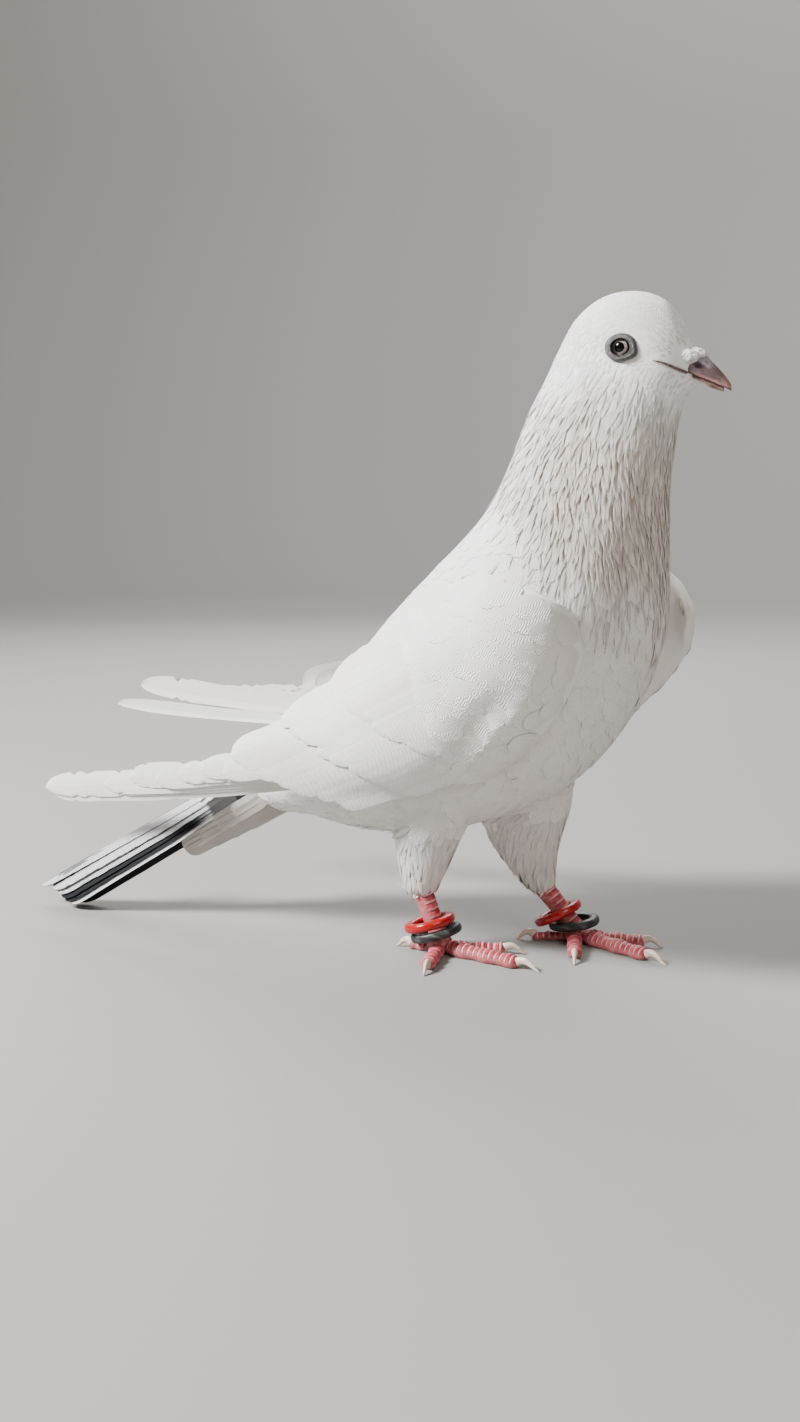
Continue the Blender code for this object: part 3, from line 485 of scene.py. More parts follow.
# The body's skin, and the lie of the feathers on it
def body_ring(t, sides):
    bx, bz, vx, vz, width = smooth_row(BODY, t)
    back, belly = np.array([bx, 0.0, bz]), np.array([vx, 0.0, vz])
    centre, half = (back + belly) / 2, (back - belly) / 2
    height = np.linalg.norm(half)
    angle = 2 * math.pi * np.arange(sides) / sides
    c, s = np.cos(angle), np.sin(angle)
    power = 2.0 / BODY_SQUARENESS
    side = np.sign(c) * np.abs(c) ** power * width
    lift = np.sign(s) * np.abs(s) ** power * height
    return centre + np.outer(lift, half / height) + np.outer(side, (0.0, 1.0, 0.0))


STATIONS = np.linspace(0.0, len(BODY) - 1.0, 137)
LINES = np.array([smooth_row(BODY, t) for t in STATIONS])


def body_places(x, z):
    """Station, share of the half height (1 at the back, -1 at the belly) and half width at places (x, z)."""
    x, z = np.asarray(x, float), np.asarray(z, float)
    middle = (LINES[:, 0:2] + LINES[:, 2:4]) / 2
    half = (LINES[:, 0:2] - LINES[:, 2:4]) / 2
    height = np.hypot(half[:, 0], half[:, 1])
    line = half / height[:, None]
    station = np.zeros_like(x)
    share = np.full_like(x, 9.0)
    wide = np.zeros_like(x)
    offset = [(x - m[0]) * n[1] - (z - m[1]) * n[0] for m, n in zip(middle, line)]
    rise = [((x - m[0]) * n[0] + (z - m[1]) * n[1]) / h for m, n, h in zip(middle, line, height)]
    for i in range(len(LINES) - 1):
        crossed = offset[i] * offset[i + 1] <= 0
        gap = offset[i] - offset[i + 1]
        u = np.clip(offset[i] / np.where(np.abs(gap) < 1e-9, 1.0, gap), 0.0, 1.0)
        here = rise[i] + (rise[i + 1] - rise[i]) * u
        better = crossed & (np.abs(here) < np.abs(share))
        station = np.where(better, STATIONS[i] + (STATIONS[i + 1] - STATIONS[i]) * u, station)
        wide = np.where(better, LINES[i, 4] + (LINES[i + 1, 4] - LINES[i, 4]) * u, wide)
        share = np.where(better, here, share)
    return station, share, wide


def body_half_width(x, z, last=9.0):
    """How far the body's side is from its middle plane at places in the side view; 0 outside it."""
    station, share, wide = body_places(x, z)
    inside = np.clip(1 - np.abs(share) ** BODY_SQUARENESS, 0.0, 1.0)
    return np.where(station < last, wide * inside ** (1 / BODY_SQUARENESS), 0.0)


def thigh_share(points):
    """1 on the thighs below the belly, 0 on the rest of the body."""
    best = np.zeros(len(points))
    for table in THIGHS.values():
        rows = np.array(table, float)
        z = points[:, 2]
        x, y, long, wide = (np.interp(z, rows[:, 2], rows[:, i]) for i in (0, 1, 3, 4))
        reach = np.hypot((points[:, 0] - x) / (long + 1.0), (points[:, 1] - y) / (wide + 1.0))
        best = np.maximum(best, ramp(1.35 - reach, 0.0, 0.25) * ramp(47.0 - z, 0.0, 9.0))
    return best


def make_skin():
    steps = np.linspace(0.0, 17.0, 171)
    points = np.concatenate([body_ring(t, SKIN_SIDES) for t in steps])
    faces = ring_faces(len(steps), SKIN_SIDES)
    for table in THIGHS.values():
        first = len(points)
        rows = [smooth_row(table, t) for t in np.linspace(0, len(table) - 1, 25)]
        angle = 2 * math.pi * np.arange(32) / 32
        rings = [
            np.stack([x + long * np.cos(angle), y + wide * np.sin(angle), np.full(32, z)], 1)
            for x, y, z, long, wide in rows
        ]
        points = np.concatenate([points, *rings])
        faces += [tuple(i + first for i in f) for f in ring_faces(len(rows), 32)]
    skin = solid("skin", points, faces)
    melt = skin.modifiers.new("melt", "REMESH")
    melt.mode, melt.voxel_size = "VOXEL", SKIN_VOXEL * MM
    even = skin.modifiers.new("even", "SMOOTH")
    even.iterations, even.factor = 6, 0.5
    bake_modifiers(skin)
    places, normals = read_points(skin.data), read_normals(skin.data)
    station, _, _ = body_places(places[:, 0], places[:, 2])
    depth = COAT_DEPTH + (FACE_DEPTH - COAT_DEPTH) * ramp(station, 10.0, 12.5)
    from_eye = np.hypot(places[:, 0] - EYE[0], places[:, 2] - EYE[2])
    depth = depth + SOCKET_DEPTH * (1 - ramp(from_eye, 2.9, 4.2))
    places = places - normals * depth[:, None]
    skin.data.vertices.foreach_set("co", to_frame(places).astype(np.float32).ravel())
    skin.data.update()
    skin.data.shade_smooth()
    unwrap(skin)
    return skin


def unwrap(item):
    """Unwraps the skin's own shape into the map that every body feather takes its place from."""
    bpy.ops.object.select_all(action="DESELECT")
    bpy.context.view_layer.objects.active = item
    item.select_set(True)
    bpy.ops.object.mode_set(mode="EDIT")
    bpy.ops.mesh.select_all(action="SELECT")
    bpy.ops.uv.smart_project(angle_limit=math.radians(66.0), island_margin=0.004)
    bpy.ops.object.mode_set(mode="OBJECT")
    item.data.uv_layers[0].name = "OFBake"
    item.select_set(False)


def mark_skin(skin, wings):
    """Stores on the skin which way the feathers lie, their sizes, where each sort grows, and how much
    painted shade tints them.
    """
    points, normals = read_points(skin.data), read_normals(skin.data)
    station, share, _ = body_places(points[:, 0], points[:, 2])
    ahead = np.gradient(LINES[:, 0:4], STATIONS, axis=0)
    back = np.stack([np.interp(station, STATIONS, ahead[:, i]) for i in (0, 1)], 1)
    belly = np.stack([np.interp(station, STATIONS, ahead[:, i]) for i in (2, 3)], 1)
    upper = np.clip((share + 1) / 2, 0.0, 1.0)[:, None]
    run = -(back * upper + belly * (1 - upper))
    lie = unit(np.stack([run[:, 0], np.zeros(len(run)), run[:, 1]], 1))
    thigh = thigh_share(points)
    lie = unit(lie * (1 - thigh[:, None]) + np.array((-0.12, 0.0, -1.0)) * thigh[:, None])
    lie = unit(lie - normals * (lie * normals).sum(1, keepdims=True))
    set_attribute(skin.data, "lie", lie)

    eye = np.hypot(points[:, 0] - EYE[0], points[:, 2] - EYE[2])
    clear = ramp(eye, 3.9, 4.4)
    start, end = np.array(GAPE[0]), np.array(GAPE[-1])
    along = np.clip(((points[:, [0, 2]] - start) @ (end - start)) / ((end - start) @ (end - start)), 0, 1)
    nearest = start + along[:, None] * (end - start)
    gape = np.hypot(*(points[:, [0, 2]] - nearest).T)
    ahead_of_it = np.hypot(*(points[:, [0, 2]] - nearest - np.array((0.9, 0.7))).T)
    clear *= ramp(np.minimum(gape, ahead_of_it), 0.4, 0.8)
    covered, crease = np.zeros(len(points)), np.zeros(len(points))
    for wing in wings.values():
        a, b = wing.places(points)
        low, up = wing.edges(a)
        gap = np.maximum(np.maximum(low - b, b - up), wing.low_edge[0][0] - a)
        gap = np.clip(gap, 0.0, 20.0) + 20.0 * (np.sign(points[:, 1]) != wing.side)
        # crease: painted shadow on the skin along the wing's outline, where the wing's edge meets the body
        crease = np.maximum(crease, np.exp(-((gap / 3.0) ** 2)) * (1 - ramp(a, 60.0, 90.0)))
        inside = ramp(b - low, 5.0, 8.0) * ramp(up - b, 7.0, 10.0) * ramp(a, 8.0, 12.0)
        covered = np.maximum(covered, inside * (np.sign(points[:, 1]) == wing.side) * (a < 95))
    open_skin = 1 - covered
    above = station - (NECK_TOP - 1.3 * ramp(share, 0.0, 1.0))
    below = station - (NECK_FOOT + 0.7 * ramp(-share, 0.1, 0.9))
    head = ramp(above, -0.9, -0.1) * clear
    neck = ramp(below, -0.6, 1.0) * (1 - ramp(above, -0.5, 0.7)) * open_skin
    # painted shade: cream and dark feather roots on the neck's front and sides, the lower body, the thighs
    # and along the wing's edge, fading towards the lit back
    warm = ramp(below, -0.6, 1.2) * (1 - ramp(above, -1.6, 0.3)) * (1 - 0.75 * ramp(share, 0.1, 0.75))
    warm = np.maximum(warm, 0.45 * (1 - ramp(share, -0.5, 0.1)) * (1 - ramp(station, 8.0, 10.5)))
    warm = np.maximum(warm, np.maximum(0.55 * thigh, 0.95 * crease * (1 - ramp(share, 0.3, 0.7))))
    set_attribute(skin.data, "warm", np.clip(warm, 0.0, 1.0))
    body = (1 - ramp(below, 0.0, 1.0)) * (1 - ramp(thigh, 0.3, 0.7)) * open_skin
    bill = np.hypot(*((points[:, [0, 2]] - BARE_FACE[0]) / BARE_FACE[1]).T)
    head *= ramp(bill, 0.95, 1.1)
    for name, share in (("head", head), ("neck", neck), ("body", body), ("thigh", ramp(thigh, 0.2, 0.5))):
        for word, side in SIDES:
            set_attribute(skin.data, f"grow_{name}_{word}", share * (points[:, 1] * side > 0))
    bill = np.hypot(points[:, 0] - 61.0, points[:, 2] - 184.0)
    size = np.ones(len(points))
    size *= 1 - 0.5 * (1 - ramp(bill, 4.0, 14.0)) * (station > 11)
    size *= 1 - 0.4 * (1 - ramp(eye, 4.5, 10.0)) * (station > 11)
    size *= np.where(station > 7.5, 1 - 0.35 * ramp(station, 9.0, 11.5) * (station < 12), 1.0)
    size *= 1 + 0.35 * (1 - ramp(station, 0.5, 2.5))
    set_attribute(skin.data, "size", size)
    fluff = np.ones(len(points))
    fluff *= np.where(station > 7.0, 1 - 0.75 * ramp(station, 8.8, 11.4), 1.0)
    fluff *= 1 - 0.7 * ramp(share, 0.25, 0.75)
    fluff *= 1 + 0.8 * (1 - ramp(station, 0.8, 2.6))
    fluff *= 1 + 1.4 * (1 - ramp(share, -0.75, -0.35)) * (1 - ramp(station, 2.6, 4.0))
    fluff *= 1 + 1.2 * ramp(thigh, 0.3, 0.9) * (1 - ramp(points[:, 2], 24.0, 34.0))
    set_attribute(skin.data, "fluff", fluff)


GAPE = [(51.6, 183.5), (54.6, 182.8), (57.4, 181.6), (60.4, 180.3)]
BARE_FACE = ((62.5, 184.0), (5.6, 4.6))  # centre and reach of the patch round the bill without feathers


# Feathers laid on a skin by a node tree
def leaf(name, outline):
    """A small closed feather one unit long along Y, with the shares that the coat's tree bends it by."""
    points, across, along, face = [], [], [], []
    for v, w in outline:
        for k in (-1, 0, 1):
            points.append((0.5 * w * k, v, 0.0))
            across.append(k * w)
            along.append(v)
            face.append(1.0 if k == 0 and 0 < v < 1 else 0.0)
    for v, w in outline[1:-1]:
        points.append((0.0, v, 0.0))
        across.append(0.0)
        along.append(v)
        face.append(-1.0)
    mesh = bpy.data.meshes.new(name)
    mesh.from_pydata(points, [], leaf_quads(len(outline), 3, 0).tolist())
    for key, values in (("across", across), ("along", along), ("face", face)):
        set_attribute(mesh, key, values)
    return show(name, mesh)


ROUND_LEAF = [(0.0, 0.3), (0.18, 0.75), (0.45, 1.0), (0.72, 0.95), (0.9, 0.66), (1.0, 0.2)]
SMALL_LEAF = [(0.0, 0.3), (0.35, 0.95), (0.75, 0.85), (1.0, 0.2)]
POINTED_LEAF = [(0.0, 0.3), (0.2, 0.85), (0.42, 1.0), (0.66, 0.72), (0.86, 0.38), (1.0, 0.06)]

PACKING = 1.4  # feathers tried for on each square of the spacing
PATCH = 0.0015  # size of a feather's patch in the map, for each unit of its own

COAT_INPUTS = (
    ("Feather", "NodeSocketObject", None),
    ("Finish", "NodeSocketMaterial", None),
    ("Where", "NodeSocketString", ""),
    ("Spacing", "NodeSocketFloat", 3.0),
    ("Length", "NodeSocketFloat", 9.0),
    ("Width", "NodeSocketFloat", 6.0),
    ("Sink", "NodeSocketFloat", -0.3),
    ("Lift", "NodeSocketFloat", 1.6),
    ("Thickness", "NodeSocketFloat", 0.3),
    ("Camber", "NodeSocketFloat", 0.3),
    ("Turn", "NodeSocketFloat", 0.15),
    ("Hug", "NodeSocketFloat", 1.0),
    ("Seed", "NodeSocketInt", 1),
)


def coat_tree():
    """Scatters feathers where the skin says, turns them along its lie and bends them to its surface."""
    tree = bpy.data.node_groups.new("coat", "GeometryNodeTree")
    tree.interface.new_socket("Skin", in_out="INPUT", socket_type="NodeSocketGeometry")
    for name, kind, value in COAT_INPUTS:
        made = tree.interface.new_socket(name, in_out="INPUT", socket_type=kind)
        if value is not None:
            made.default_value = value
    tree.interface.new_socket("Coat", in_out="OUTPUT", socket_type="NodeSocketGeometry")
    given = add_node(tree, "NodeGroupInput").outputs

    def attribute(name, kind="FLOAT"):
        made = add_node(tree, "GeometryNodeInputNamedAttribute", {"Name": name}, data_type=kind)
        return socket(made.outputs, "Attribute")

    def times(*factors):
        value = factors[0]
        for factor in factors[1:]:
            value = arithmetic(tree, "MULTIPLY", value, factor)
        return value

    def plus(a, b):
        return arithmetic(tree, "ADD", a, b)

    def minus(a, b):
        return arithmetic(tree, "SUBTRACT", a, b)

    def power(a, b):
        return arithmetic(tree, "POWER", a, b)

    def chance(low, high, step):
        inputs = {"Min": low, "Max": high, "Seed": plus(given["Seed"], step)}
        return socket(add_node(tree, "FunctionNodeRandomValue", inputs, data_type="FLOAT").outputs, "Value")

    def store(geometry, name, value, kind="FLOAT", domain="POINT"):
        inputs = {"Geometry": geometry, "Name": name, "Value": value}
        made = add_node(tree, "GeometryNodeStoreNamedAttribute", inputs, data_type=kind, domain=domain)
        return made.outputs[0]

    def raised(place, direction, height):
        return vector_math(tree, "ADD", place, vector_math(tree, "SCALE", direction, scale=height))

    gap = times(given["Spacing"], MM)
    scatter = add_node(
        tree,
        "GeometryNodeDistributePointsOnFaces",
        {
            "Mesh": given["Skin"],
            "Distance Min": gap,
            "Density Max": arithmetic(tree, "DIVIDE", PACKING, times(gap, gap)),
            "Density Factor": attribute(given["Where"]),
            "Seed": given["Seed"],
        },
        distribute_method="POISSON",
    )
    roots = store(scatter.outputs["Points"], "out", scatter.outputs["Normal"], "FLOAT_VECTOR")
    roots = store(roots, "root_place", attribute("OFBake", "FLOAT_VECTOR"), "FLOAT_VECTOR")
    roots = store(roots, "shade", chance(0.0, 1.0, 1))
    roots = store(roots, "proud", chance(0.55, 1.45, 2))
    out, lie = attribute("out", "FLOAT_VECTOR"), attribute("lie", "FLOAT_VECTOR")
    facing = add_node(tree, "FunctionNodeAxesToRotation", {"Primary Axis": out, "Secondary Axis": lie},
                      primary_axis="Z", secondary_axis="Y").outputs[0]
    yaw = times(given["Turn"], chance(-1.0, 1.0, 3))
    spin = add_node(tree, "FunctionNodeEulerToRotation",
                    {0: add_node(tree, "ShaderNodeCombineXYZ", {"Z": yaw}).outputs[0]}).outputs[0]
    facing = add_node(tree, "FunctionNodeRotateRotation", {"Rotation": facing, "Rotate By": spin},
                      rotation_space="LOCAL").outputs[0]
    size = times(attribute("size"), chance(0.85, 1.15, 4))
    across, length = (times(given[name], MM, size) for name in ("Width", "Length"))
    scale = add_node(tree, "ShaderNodeCombineXYZ", {"X": across, "Y": length, "Z": 1.0}).outputs[0]
    pattern = add_node(tree, "GeometryNodeObjectInfo", {"Object": given["Feather"]}).outputs["Geometry"]
    placed = add_node(tree, "GeometryNodeInstanceOnPoints",
                      {"Points": roots, "Instance": pattern, "Rotation": facing, "Scale": scale}).outputs[0]
    coat = add_node(tree, "GeometryNodeRealizeInstances", {"Geometry": placed}).outputs[0]

    along, sideways = attribute("along"), attribute("across")
    lift = times(given["Lift"], attribute("proud"), power(along, 0.8), attribute("fluff"))
    rise = plus(lift, given["Sink"])
    wall = times(attribute("face"), given["Thickness"], minus(1.0, power(along, 3.0)))
    bend = times(sideways, sideways, given["Camber"])
    height = times(minus(plus(rise, wall), bend), MM)
    here = add_node(tree, "GeometryNodeInputPosition").outputs[0]
    normal = add_node(tree, "GeometryNodeInputNormal").outputs[0]
    near = add_node(tree, "GeometryNodeProximity", {"Geometry": given["Skin"], "Sample Position": here},
                    target_element="FACES").outputs["Position"]
    inputs = {"Mesh": given["Skin"], "Value": normal, "Sample Position": here}
    sample = add_node(tree, "GeometryNodeSampleNearestSurface", inputs, data_type="FLOAT_VECTOR")
    outward = vector_math(tree, "NORMALIZE", socket(sample.outputs, "Value"))
    hugging = raised(near, outward, height)
    straight = raised(here, attribute("out", "FLOAT_VECTOR"), height)
    mixed = tree.nodes.new("ShaderNodeMix")
    mixed.data_type = "VECTOR"
    for key, value in (("Factor", given["Hug"]), ("A", straight), ("B", hugging)):
        tree.links.new(value, socket(mixed.inputs, key))
    coat = add_node(tree, "GeometryNodeSetPosition",
                    {"Geometry": coat, "Position": socket(mixed.outputs, "Result")}).outputs[0]
    patch = add_node(tree, "ShaderNodeCombineXYZ", {"X": sideways, "Y": along}).outputs[0]
    patch = raised(attribute("root_place", "FLOAT_VECTOR"), patch, PATCH)
    coat = store(coat, "OFBake", patch, "FLOAT2", "CORNER")
    coat = add_node(tree, "GeometryNodeSetMaterial", {"Geometry": coat, "Material": given["Finish"]})
    add_node(tree, "NodeGroupOutput", {0: coat.outputs[0]})
    return tree


def grow_coat(name, skin, tree, slot, **sizes):
    """One piece of plumage grown on the skin."""
    made = show(name, skin.data.copy())
    step = made.modifiers.new("coat", "NODES")
    step.node_group = tree
    for item in tree.interface.items_tree:
        if item.in_out == "INPUT" and item.name in sizes:
            step[item.identifier] = sizes[item.name]
    bake_modifiers(made)
    for spare in ("out", "root_place", "proud", "lie", "size", "fluff", "face"):
        if spare in made.data.attributes:
            made.data.attributes.remove(made.data.attributes[spare])
    for extra in [a.name for a in made.data.attributes if a.name.startswith("grow_")]:
        made.data.attributes.remove(made.data.attributes[extra])
    made.data.shade_smooth()
    made.data.set_sharp_from_angle(angle=math.radians(55.0))
    wear(made, slot)


# Wings
class Wing:
    """The folded wing's outer surface: a runs from the wrist towards the tip, b is up from that line."""

    def __init__(self, word, sizes):
        self.side = sizes["side"]
        self.low_edge, self.up_edge = np.array(WING_LOW[word]).T, np.array(WING_UP[word]).T
        self.wrist = np.array(sizes["wrist"])
        reach = np.array(sizes["tip"]) - self.wrist
        self.length = float(np.linalg.norm(reach))
        self.axis = reach / self.length
        self.up = np.array([self.axis[1], -self.axis[0]])
        self.out_wrist, self.out_tip = sizes["out_wrist"], sizes["out_tip"]
        self.front, self.low_root = sizes["front"], sizes["low_root"]
        self.primaries, self.tertial = sizes["primaries"], sizes["tertial"]
        self.first = np.array((-12.0, -52.0))
        a = np.arange(self.first[0], self.length + 16.0)
        b = np.arange(self.first[1], 48.0)
        self.out = self.surface(*np.meshgrid(a, b, indexing="ij"))
        for _ in range(3):
            self.out[1:-1, 1:-1] = (
                self.out[1:-1, 1:-1] * 2 + self.out[:-2, 1:-1] + self.out[2:, 1:-1]
                + self.out[1:-1, :-2] + self.out[1:-1, 2:]
            ) / 6
        self.slopes = np.gradient(self.out)

    def side_view(self, a, b):
        return (self.wrist[0] + a * self.axis[0] + b * self.up[0],
                self.wrist[1] + a * self.axis[1] + b * self.up[1])

    def places(self, points):
        """Where points of the side view are on the wing."""
        offset = points[:, [0, 2]] - self.wrist
        return offset @ self.axis, offset @ self.up

    def edges(self, a):
        """The lower and the upper edge of the wing at distances from its wrist."""
        return np.interp(a, *self.low_edge), np.interp(a, *self.up_edge)

    def deepen(self, place):
        """Lowers a place given for a shallow wing to this wing's depth."""
        share = min(1.0, max(0.0, -place[1] / 27.0))
        return np.array((place[0], place[1] + (self.low_root + 27.0) * share))

    def surface(self, a, b):
        """Distance from the middle plane of the body."""
        x, z = self.side_view(a, b)
        plane = self.out_wrist + (self.out_tip - self.out_wrist) * np.clip(a / self.length, 0, 1)
        plane = plane - np.maximum(0, b - 6.0) ** 2 / 60.0 - np.maximum(0, -12.0 - b) ** 2 / 90.0
        behind = np.clip((a - 55.0) / 30.0, 0, 1) * np.clip((150.0 - a) / 25.0, 0, 1)
        plane = plane - behind * np.maximum(0, b + 9.0) ** 2 / 24.0
        front = np.sqrt(1 - np.clip((self.front + 18.0 - a) / 18.0, 0, 1) ** 2)
        low, up = self.edges(a)
        middle = (low + up) / 2
        across = np.clip(np.abs(b - middle) / ((up - low) / 2), 0, 1)
        soft, bold = 1 - 0.75 * across**3, np.sqrt(1 - across**4)
        swell = (1 - np.clip((a - 35.0) / 30.0, 0, 1)) * (b < middle)
        pad = PAD_THICKNESS * front * (soft + (bold - soft) * swell)
        flesh = body_half_width(x, z) + np.maximum(1.0, pad * (1 - 0.45 * np.clip((a - 20.0) / 70.0, 0, 1)))
        plane = plane - (1 - front) * 9.0
        whole = 3.0 * np.logaddexp(plane / 3.0, flesh / 3.0) - self.groove(a, b)
        near = body_half_width(x, z) + 0.6
        return whole - np.clip(whole - near, 0.0, ROLL_REACH[self.side]) * self.roll(a, b)

    def roll(self, a, b):
        """How far the wing's rounded front edge falls to the body: 1 at the outline, 0 inside it."""
        low, up = self.edges(a)
        low_slope = low - self.edges(a - 1.0)[0]
        up_slope = up - self.edges(a - 1.0)[1]
        gap = np.minimum((b - low) / np.hypot(1.0, low_slope), (up - b) / np.hypot(1.0, up_slope))
        share = 1 - np.clip(gap / ROLL_RADIUS, 0.0, 1.0)
        return (1 - np.sqrt(1 - share**2)) * (1 - ramp(a, 34.0, 60.0)) * (1 - 0.6 * ramp(b, 6.0, 14.0))

    def groove(self, a, b):
        """Depth of the soft fold between the feathers of the wing's leading edge and the rest."""
        line = np.interp(a, *WING_GROOVE.T)
        slope = np.interp(a, *WING_GROOVE.T) - np.interp(a - 2.0, *WING_GROOVE.T)
        gap = (b - line) / np.sqrt(1 + (slope / 2) ** 2)
        deep = GROOVE_DEPTH * ramp(a, 12.0, 26.0) * (1 - ramp(a, 52.0, 62.0))
        return deep * np.where(gap > 0, np.exp(-((gap / 5.0) ** 2)), np.exp(-((gap / 1.8) ** 2)))

    def read(self, field, a, b):
        u = np.clip(a - self.first[0], 0, field.shape[0] - 1.001)
        v = np.clip(b - self.first[1], 0, field.shape[1] - 1.001)
        i, k = u.astype(int), v.astype(int)
        u, v = u - i, v - k
        return (field[i, k] * (1 - u) * (1 - v) + field[i + 1, k] * u * (1 - v)
                + field[i, k + 1] * (1 - u) * v + field[i + 1, k + 1] * u * v)

    def points(self, a, b, lift):
        """Places on the surface, raised from it by lift."""
        a, b, lift = np.broadcast_arrays(np.asarray(a, float), np.asarray(b, float), np.asarray(lift, float))
        x, z = self.side_view(a, b)
        slope_a, slope_b = (np.clip(self.read(s, a, b), -1.5, 1.5) for s in self.slopes)
        size = np.sqrt(slope_a**2 + slope_b**2 + 1)
        along, rise = -slope_a / size * lift, -slope_b / size * lift
        return np.stack([
            x + along * self.axis[0] + rise * self.up[0],
            self.side * (self.read(self.out, a, b) + lift / size),
            z + along * self.axis[1] + rise * self.up[1],
        ], -1)


class Vanes:
    """Collects large feathers and makes one mesh of them."""

    def __init__(self, seed):
        self.points, self.faces, self.maps = [], [], []
        self.values = {"along": [], "shade": [], "web": []}
        self.count = 0
        self.chance = np.random.default_rng(seed)

    def add(self, upper, lower, across, along, web, shade=None):
        """Takes grids of upper and lower points, with their distances across and along the feather in cm."""
        rows, columns = upper.shape[:2]
        self.faces.append(leaf_quads(rows, columns, self.count))
        shade = self.chance.uniform() if shade is None else shade
        share = along / max(along.max(), 1e-6)
        vane = np.stack([across, along], -1)
        self.points += [upper.reshape(-1, 3), lower[1:-1, 1:-1].reshape(-1, 3)]
        self.maps += [vane.reshape(-1, 2), vane[1:-1, 1:-1].reshape(-1, 2)]
        for key, grid in (("along", share), ("web", web), ("shade", np.full_like(share, shade))):
            self.values[key] += [grid.reshape(-1), grid[1:-1, 1:-1].reshape(-1)]
        self.count += rows * columns + (rows - 2) * (columns - 2)

    def finish(self, name, material, slot, *nodes):
        made = solid(name, np.concatenate(self.points), np.concatenate(self.faces), material, sharp=60.0)
        set_corner_map(made.data, "vane", np.concatenate(self.maps))
        for key, values in self.values.items():
            set_attribute(made.data, key, np.concatenate(values))
        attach(made, "root")
        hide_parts(*nodes)


def vane_grid(rows, columns, shaft, tip_start, edge):
    """Shares along the feather and across it, and its outline at each row, for a vane with a rounded tip."""
    s = 1 - (1 - np.linspace(0, 1, rows)) ** 1.35
    k = np.linspace(-1, 1, columns)
    k = np.sign(k) * np.abs(k) ** 0.85
    outline = 0.42 + 0.58 * np.clip(s / 0.35, 0, 1) ** 0.8
    round_end = np.clip((s - tip_start) / (1 - tip_start), 0, 0.995)
    outline = outline * np.sqrt(1 - round_end**2.2)
    low, high = outline * (1 + shaft), outline * (1 - shaft)
    reach = np.where(k[None, :] < 0, low[:, None] * k[None, :], high[:, None] * k[None, :])
    reach = reach * (1 + edge[:, None] * (np.abs(k[None, :]) > 0.9))
    return s, k, reach


def ragged(chance, rows, depth):
    """Waves and a few sharp splits along a feather's edge."""
    waves = np.interp(np.arange(rows), np.linspace(0, rows, 9), chance.uniform(-1, 0.6, 9)) * depth
    splits = chance.uniform(size=rows) < 0.07
    edge = waves - splits * chance.uniform(1.0, 3.0, rows) * depth
    edge[: rows // 6] = 0
    return edge


def wing_feather(wing, vanes, root, tip, width, lifts, tilt, bend, shaft, thick, rough, tip_start, rows,
                 columns, camber):
    """One feather on the wing's surface; positive shares across point to its lower edge."""
    root, tip = np.array(root, float), np.array(tip, float)
    line = tip - root
    length = np.linalg.norm(line)
    line = line / length
    across = np.array([line[1], -line[0]])
    s, k, reach = vane_grid(rows, columns, shaft, tip_start, ragged(vanes.chance, rows, rough))
    reach = reach * width / 2
    centre = root + np.outer(s, line) * length + np.outer(np.sin(math.pi * s), across) * bend
    place = centre[:, None, :] + reach[..., None] * across
    lift = lifts[0] + (lifts[1] - lifts[0]) * np.clip(s / 0.45, 0, 1)
    lift = lift[:, None] + tilt * reach - camber * k[None, :] ** 2
    lift = lift + vanes.chance.normal(0, 0.05)
    wall = thick * (1 - k[None, :] ** 2) * (1 - 0.7 * s[:, None]) + 0.03
    ridge = 0.12 * (1 - s[:, None]) * (np.abs(k[None, :]) < 0.1)
    upper = wing.points(place[..., 0], place[..., 1], lift + wall / 2 + ridge)
    lower = wing.points(place[..., 0], place[..., 1], lift - wall / 2)
    web = np.broadcast_to(k[None, :], reach.shape)
    vanes.add(upper, lower, reach / 10, np.broadcast_to(s[:, None] * length / 10, reach.shape), web)


def between(first, last, share):
    return tuple(a + (b - a) * share for a, b in zip(first, last))


def make_wing(word, wing, flight, tree, leaves, finishes):
    big = Vanes(11 if word == "right" else 12)
    for n, (reach, high, width, bow) in enumerate(wing.primaries):
        root = (62.0, wing.low_root + 1.5 * n)
        wing_feather(wing, big, root, (reach, high), width, (-5.2 + 0.55 * n, -4.4 + 0.55 * n), 0.02, bow,
                     shaft=0.2, thick=0.2, rough=0.1, tip_start=0.9, rows=60, columns=9, camber=0.25)
    tiers = (
        # count, first root, last root, first tip, last tip, width, lifts at the root and at the tip, tilt
        (12, (38, -26.5), (54, 1), (90, -30.0), wing.tertial, 9.6, (-3.4, 0.1), 0.07),
        (13, (27, -24), (46, 9), (66, -29.5), (103, -1.8), 9.6, (-2.0, 0.9), 0.05),
        (13, (14, -18.5), (33, 15), (45, -24.5), (83, 6), 10.5, (-1.0, 1.4), 0.03),
    )
    for number, (count, root_a, root_b, tip_a, tip_b, width, lifts, tilt) in enumerate(tiers):
        for n in range(count):
            share = n / (count - 1)
            jitter = big.chance.normal(0, 0.6, 2)
            tip = np.array(between(tip_a, tip_b, share)) + jitter
            root = np.array(between(root_a, root_b, share))
            root, tip = wing.deepen(root), wing.deepen(tip)
            wing_feather(wing, big, root, tip, width, lifts, tilt, 0.0, shaft=0.12, thick=0.1, rough=0.05,
                         tip_start=0.9 if number == 0 else 0.8, rows=20, columns=7, camber=0.3)
    big.finish(f"flight_{word}", flight, "flight_feathers")

    shell = wing_shell(f"arm_{word}", wing, finishes["body"])
    wear(shell, "plumage", f"wing_{word}")
    grow_coat(f"coverts_{word}", shell, tree, "plumage", Feather=leaves["round"], Finish=finishes["smooth"],
              Where="grow_coverts", Spacing=2.8, Length=10.5, Width=7.6, Sink=0.3, Lift=0.45, Thickness=0.04,
              Camber=0.1, Turn=0.1, Hug=1.0, Seed=31 + wing.side)


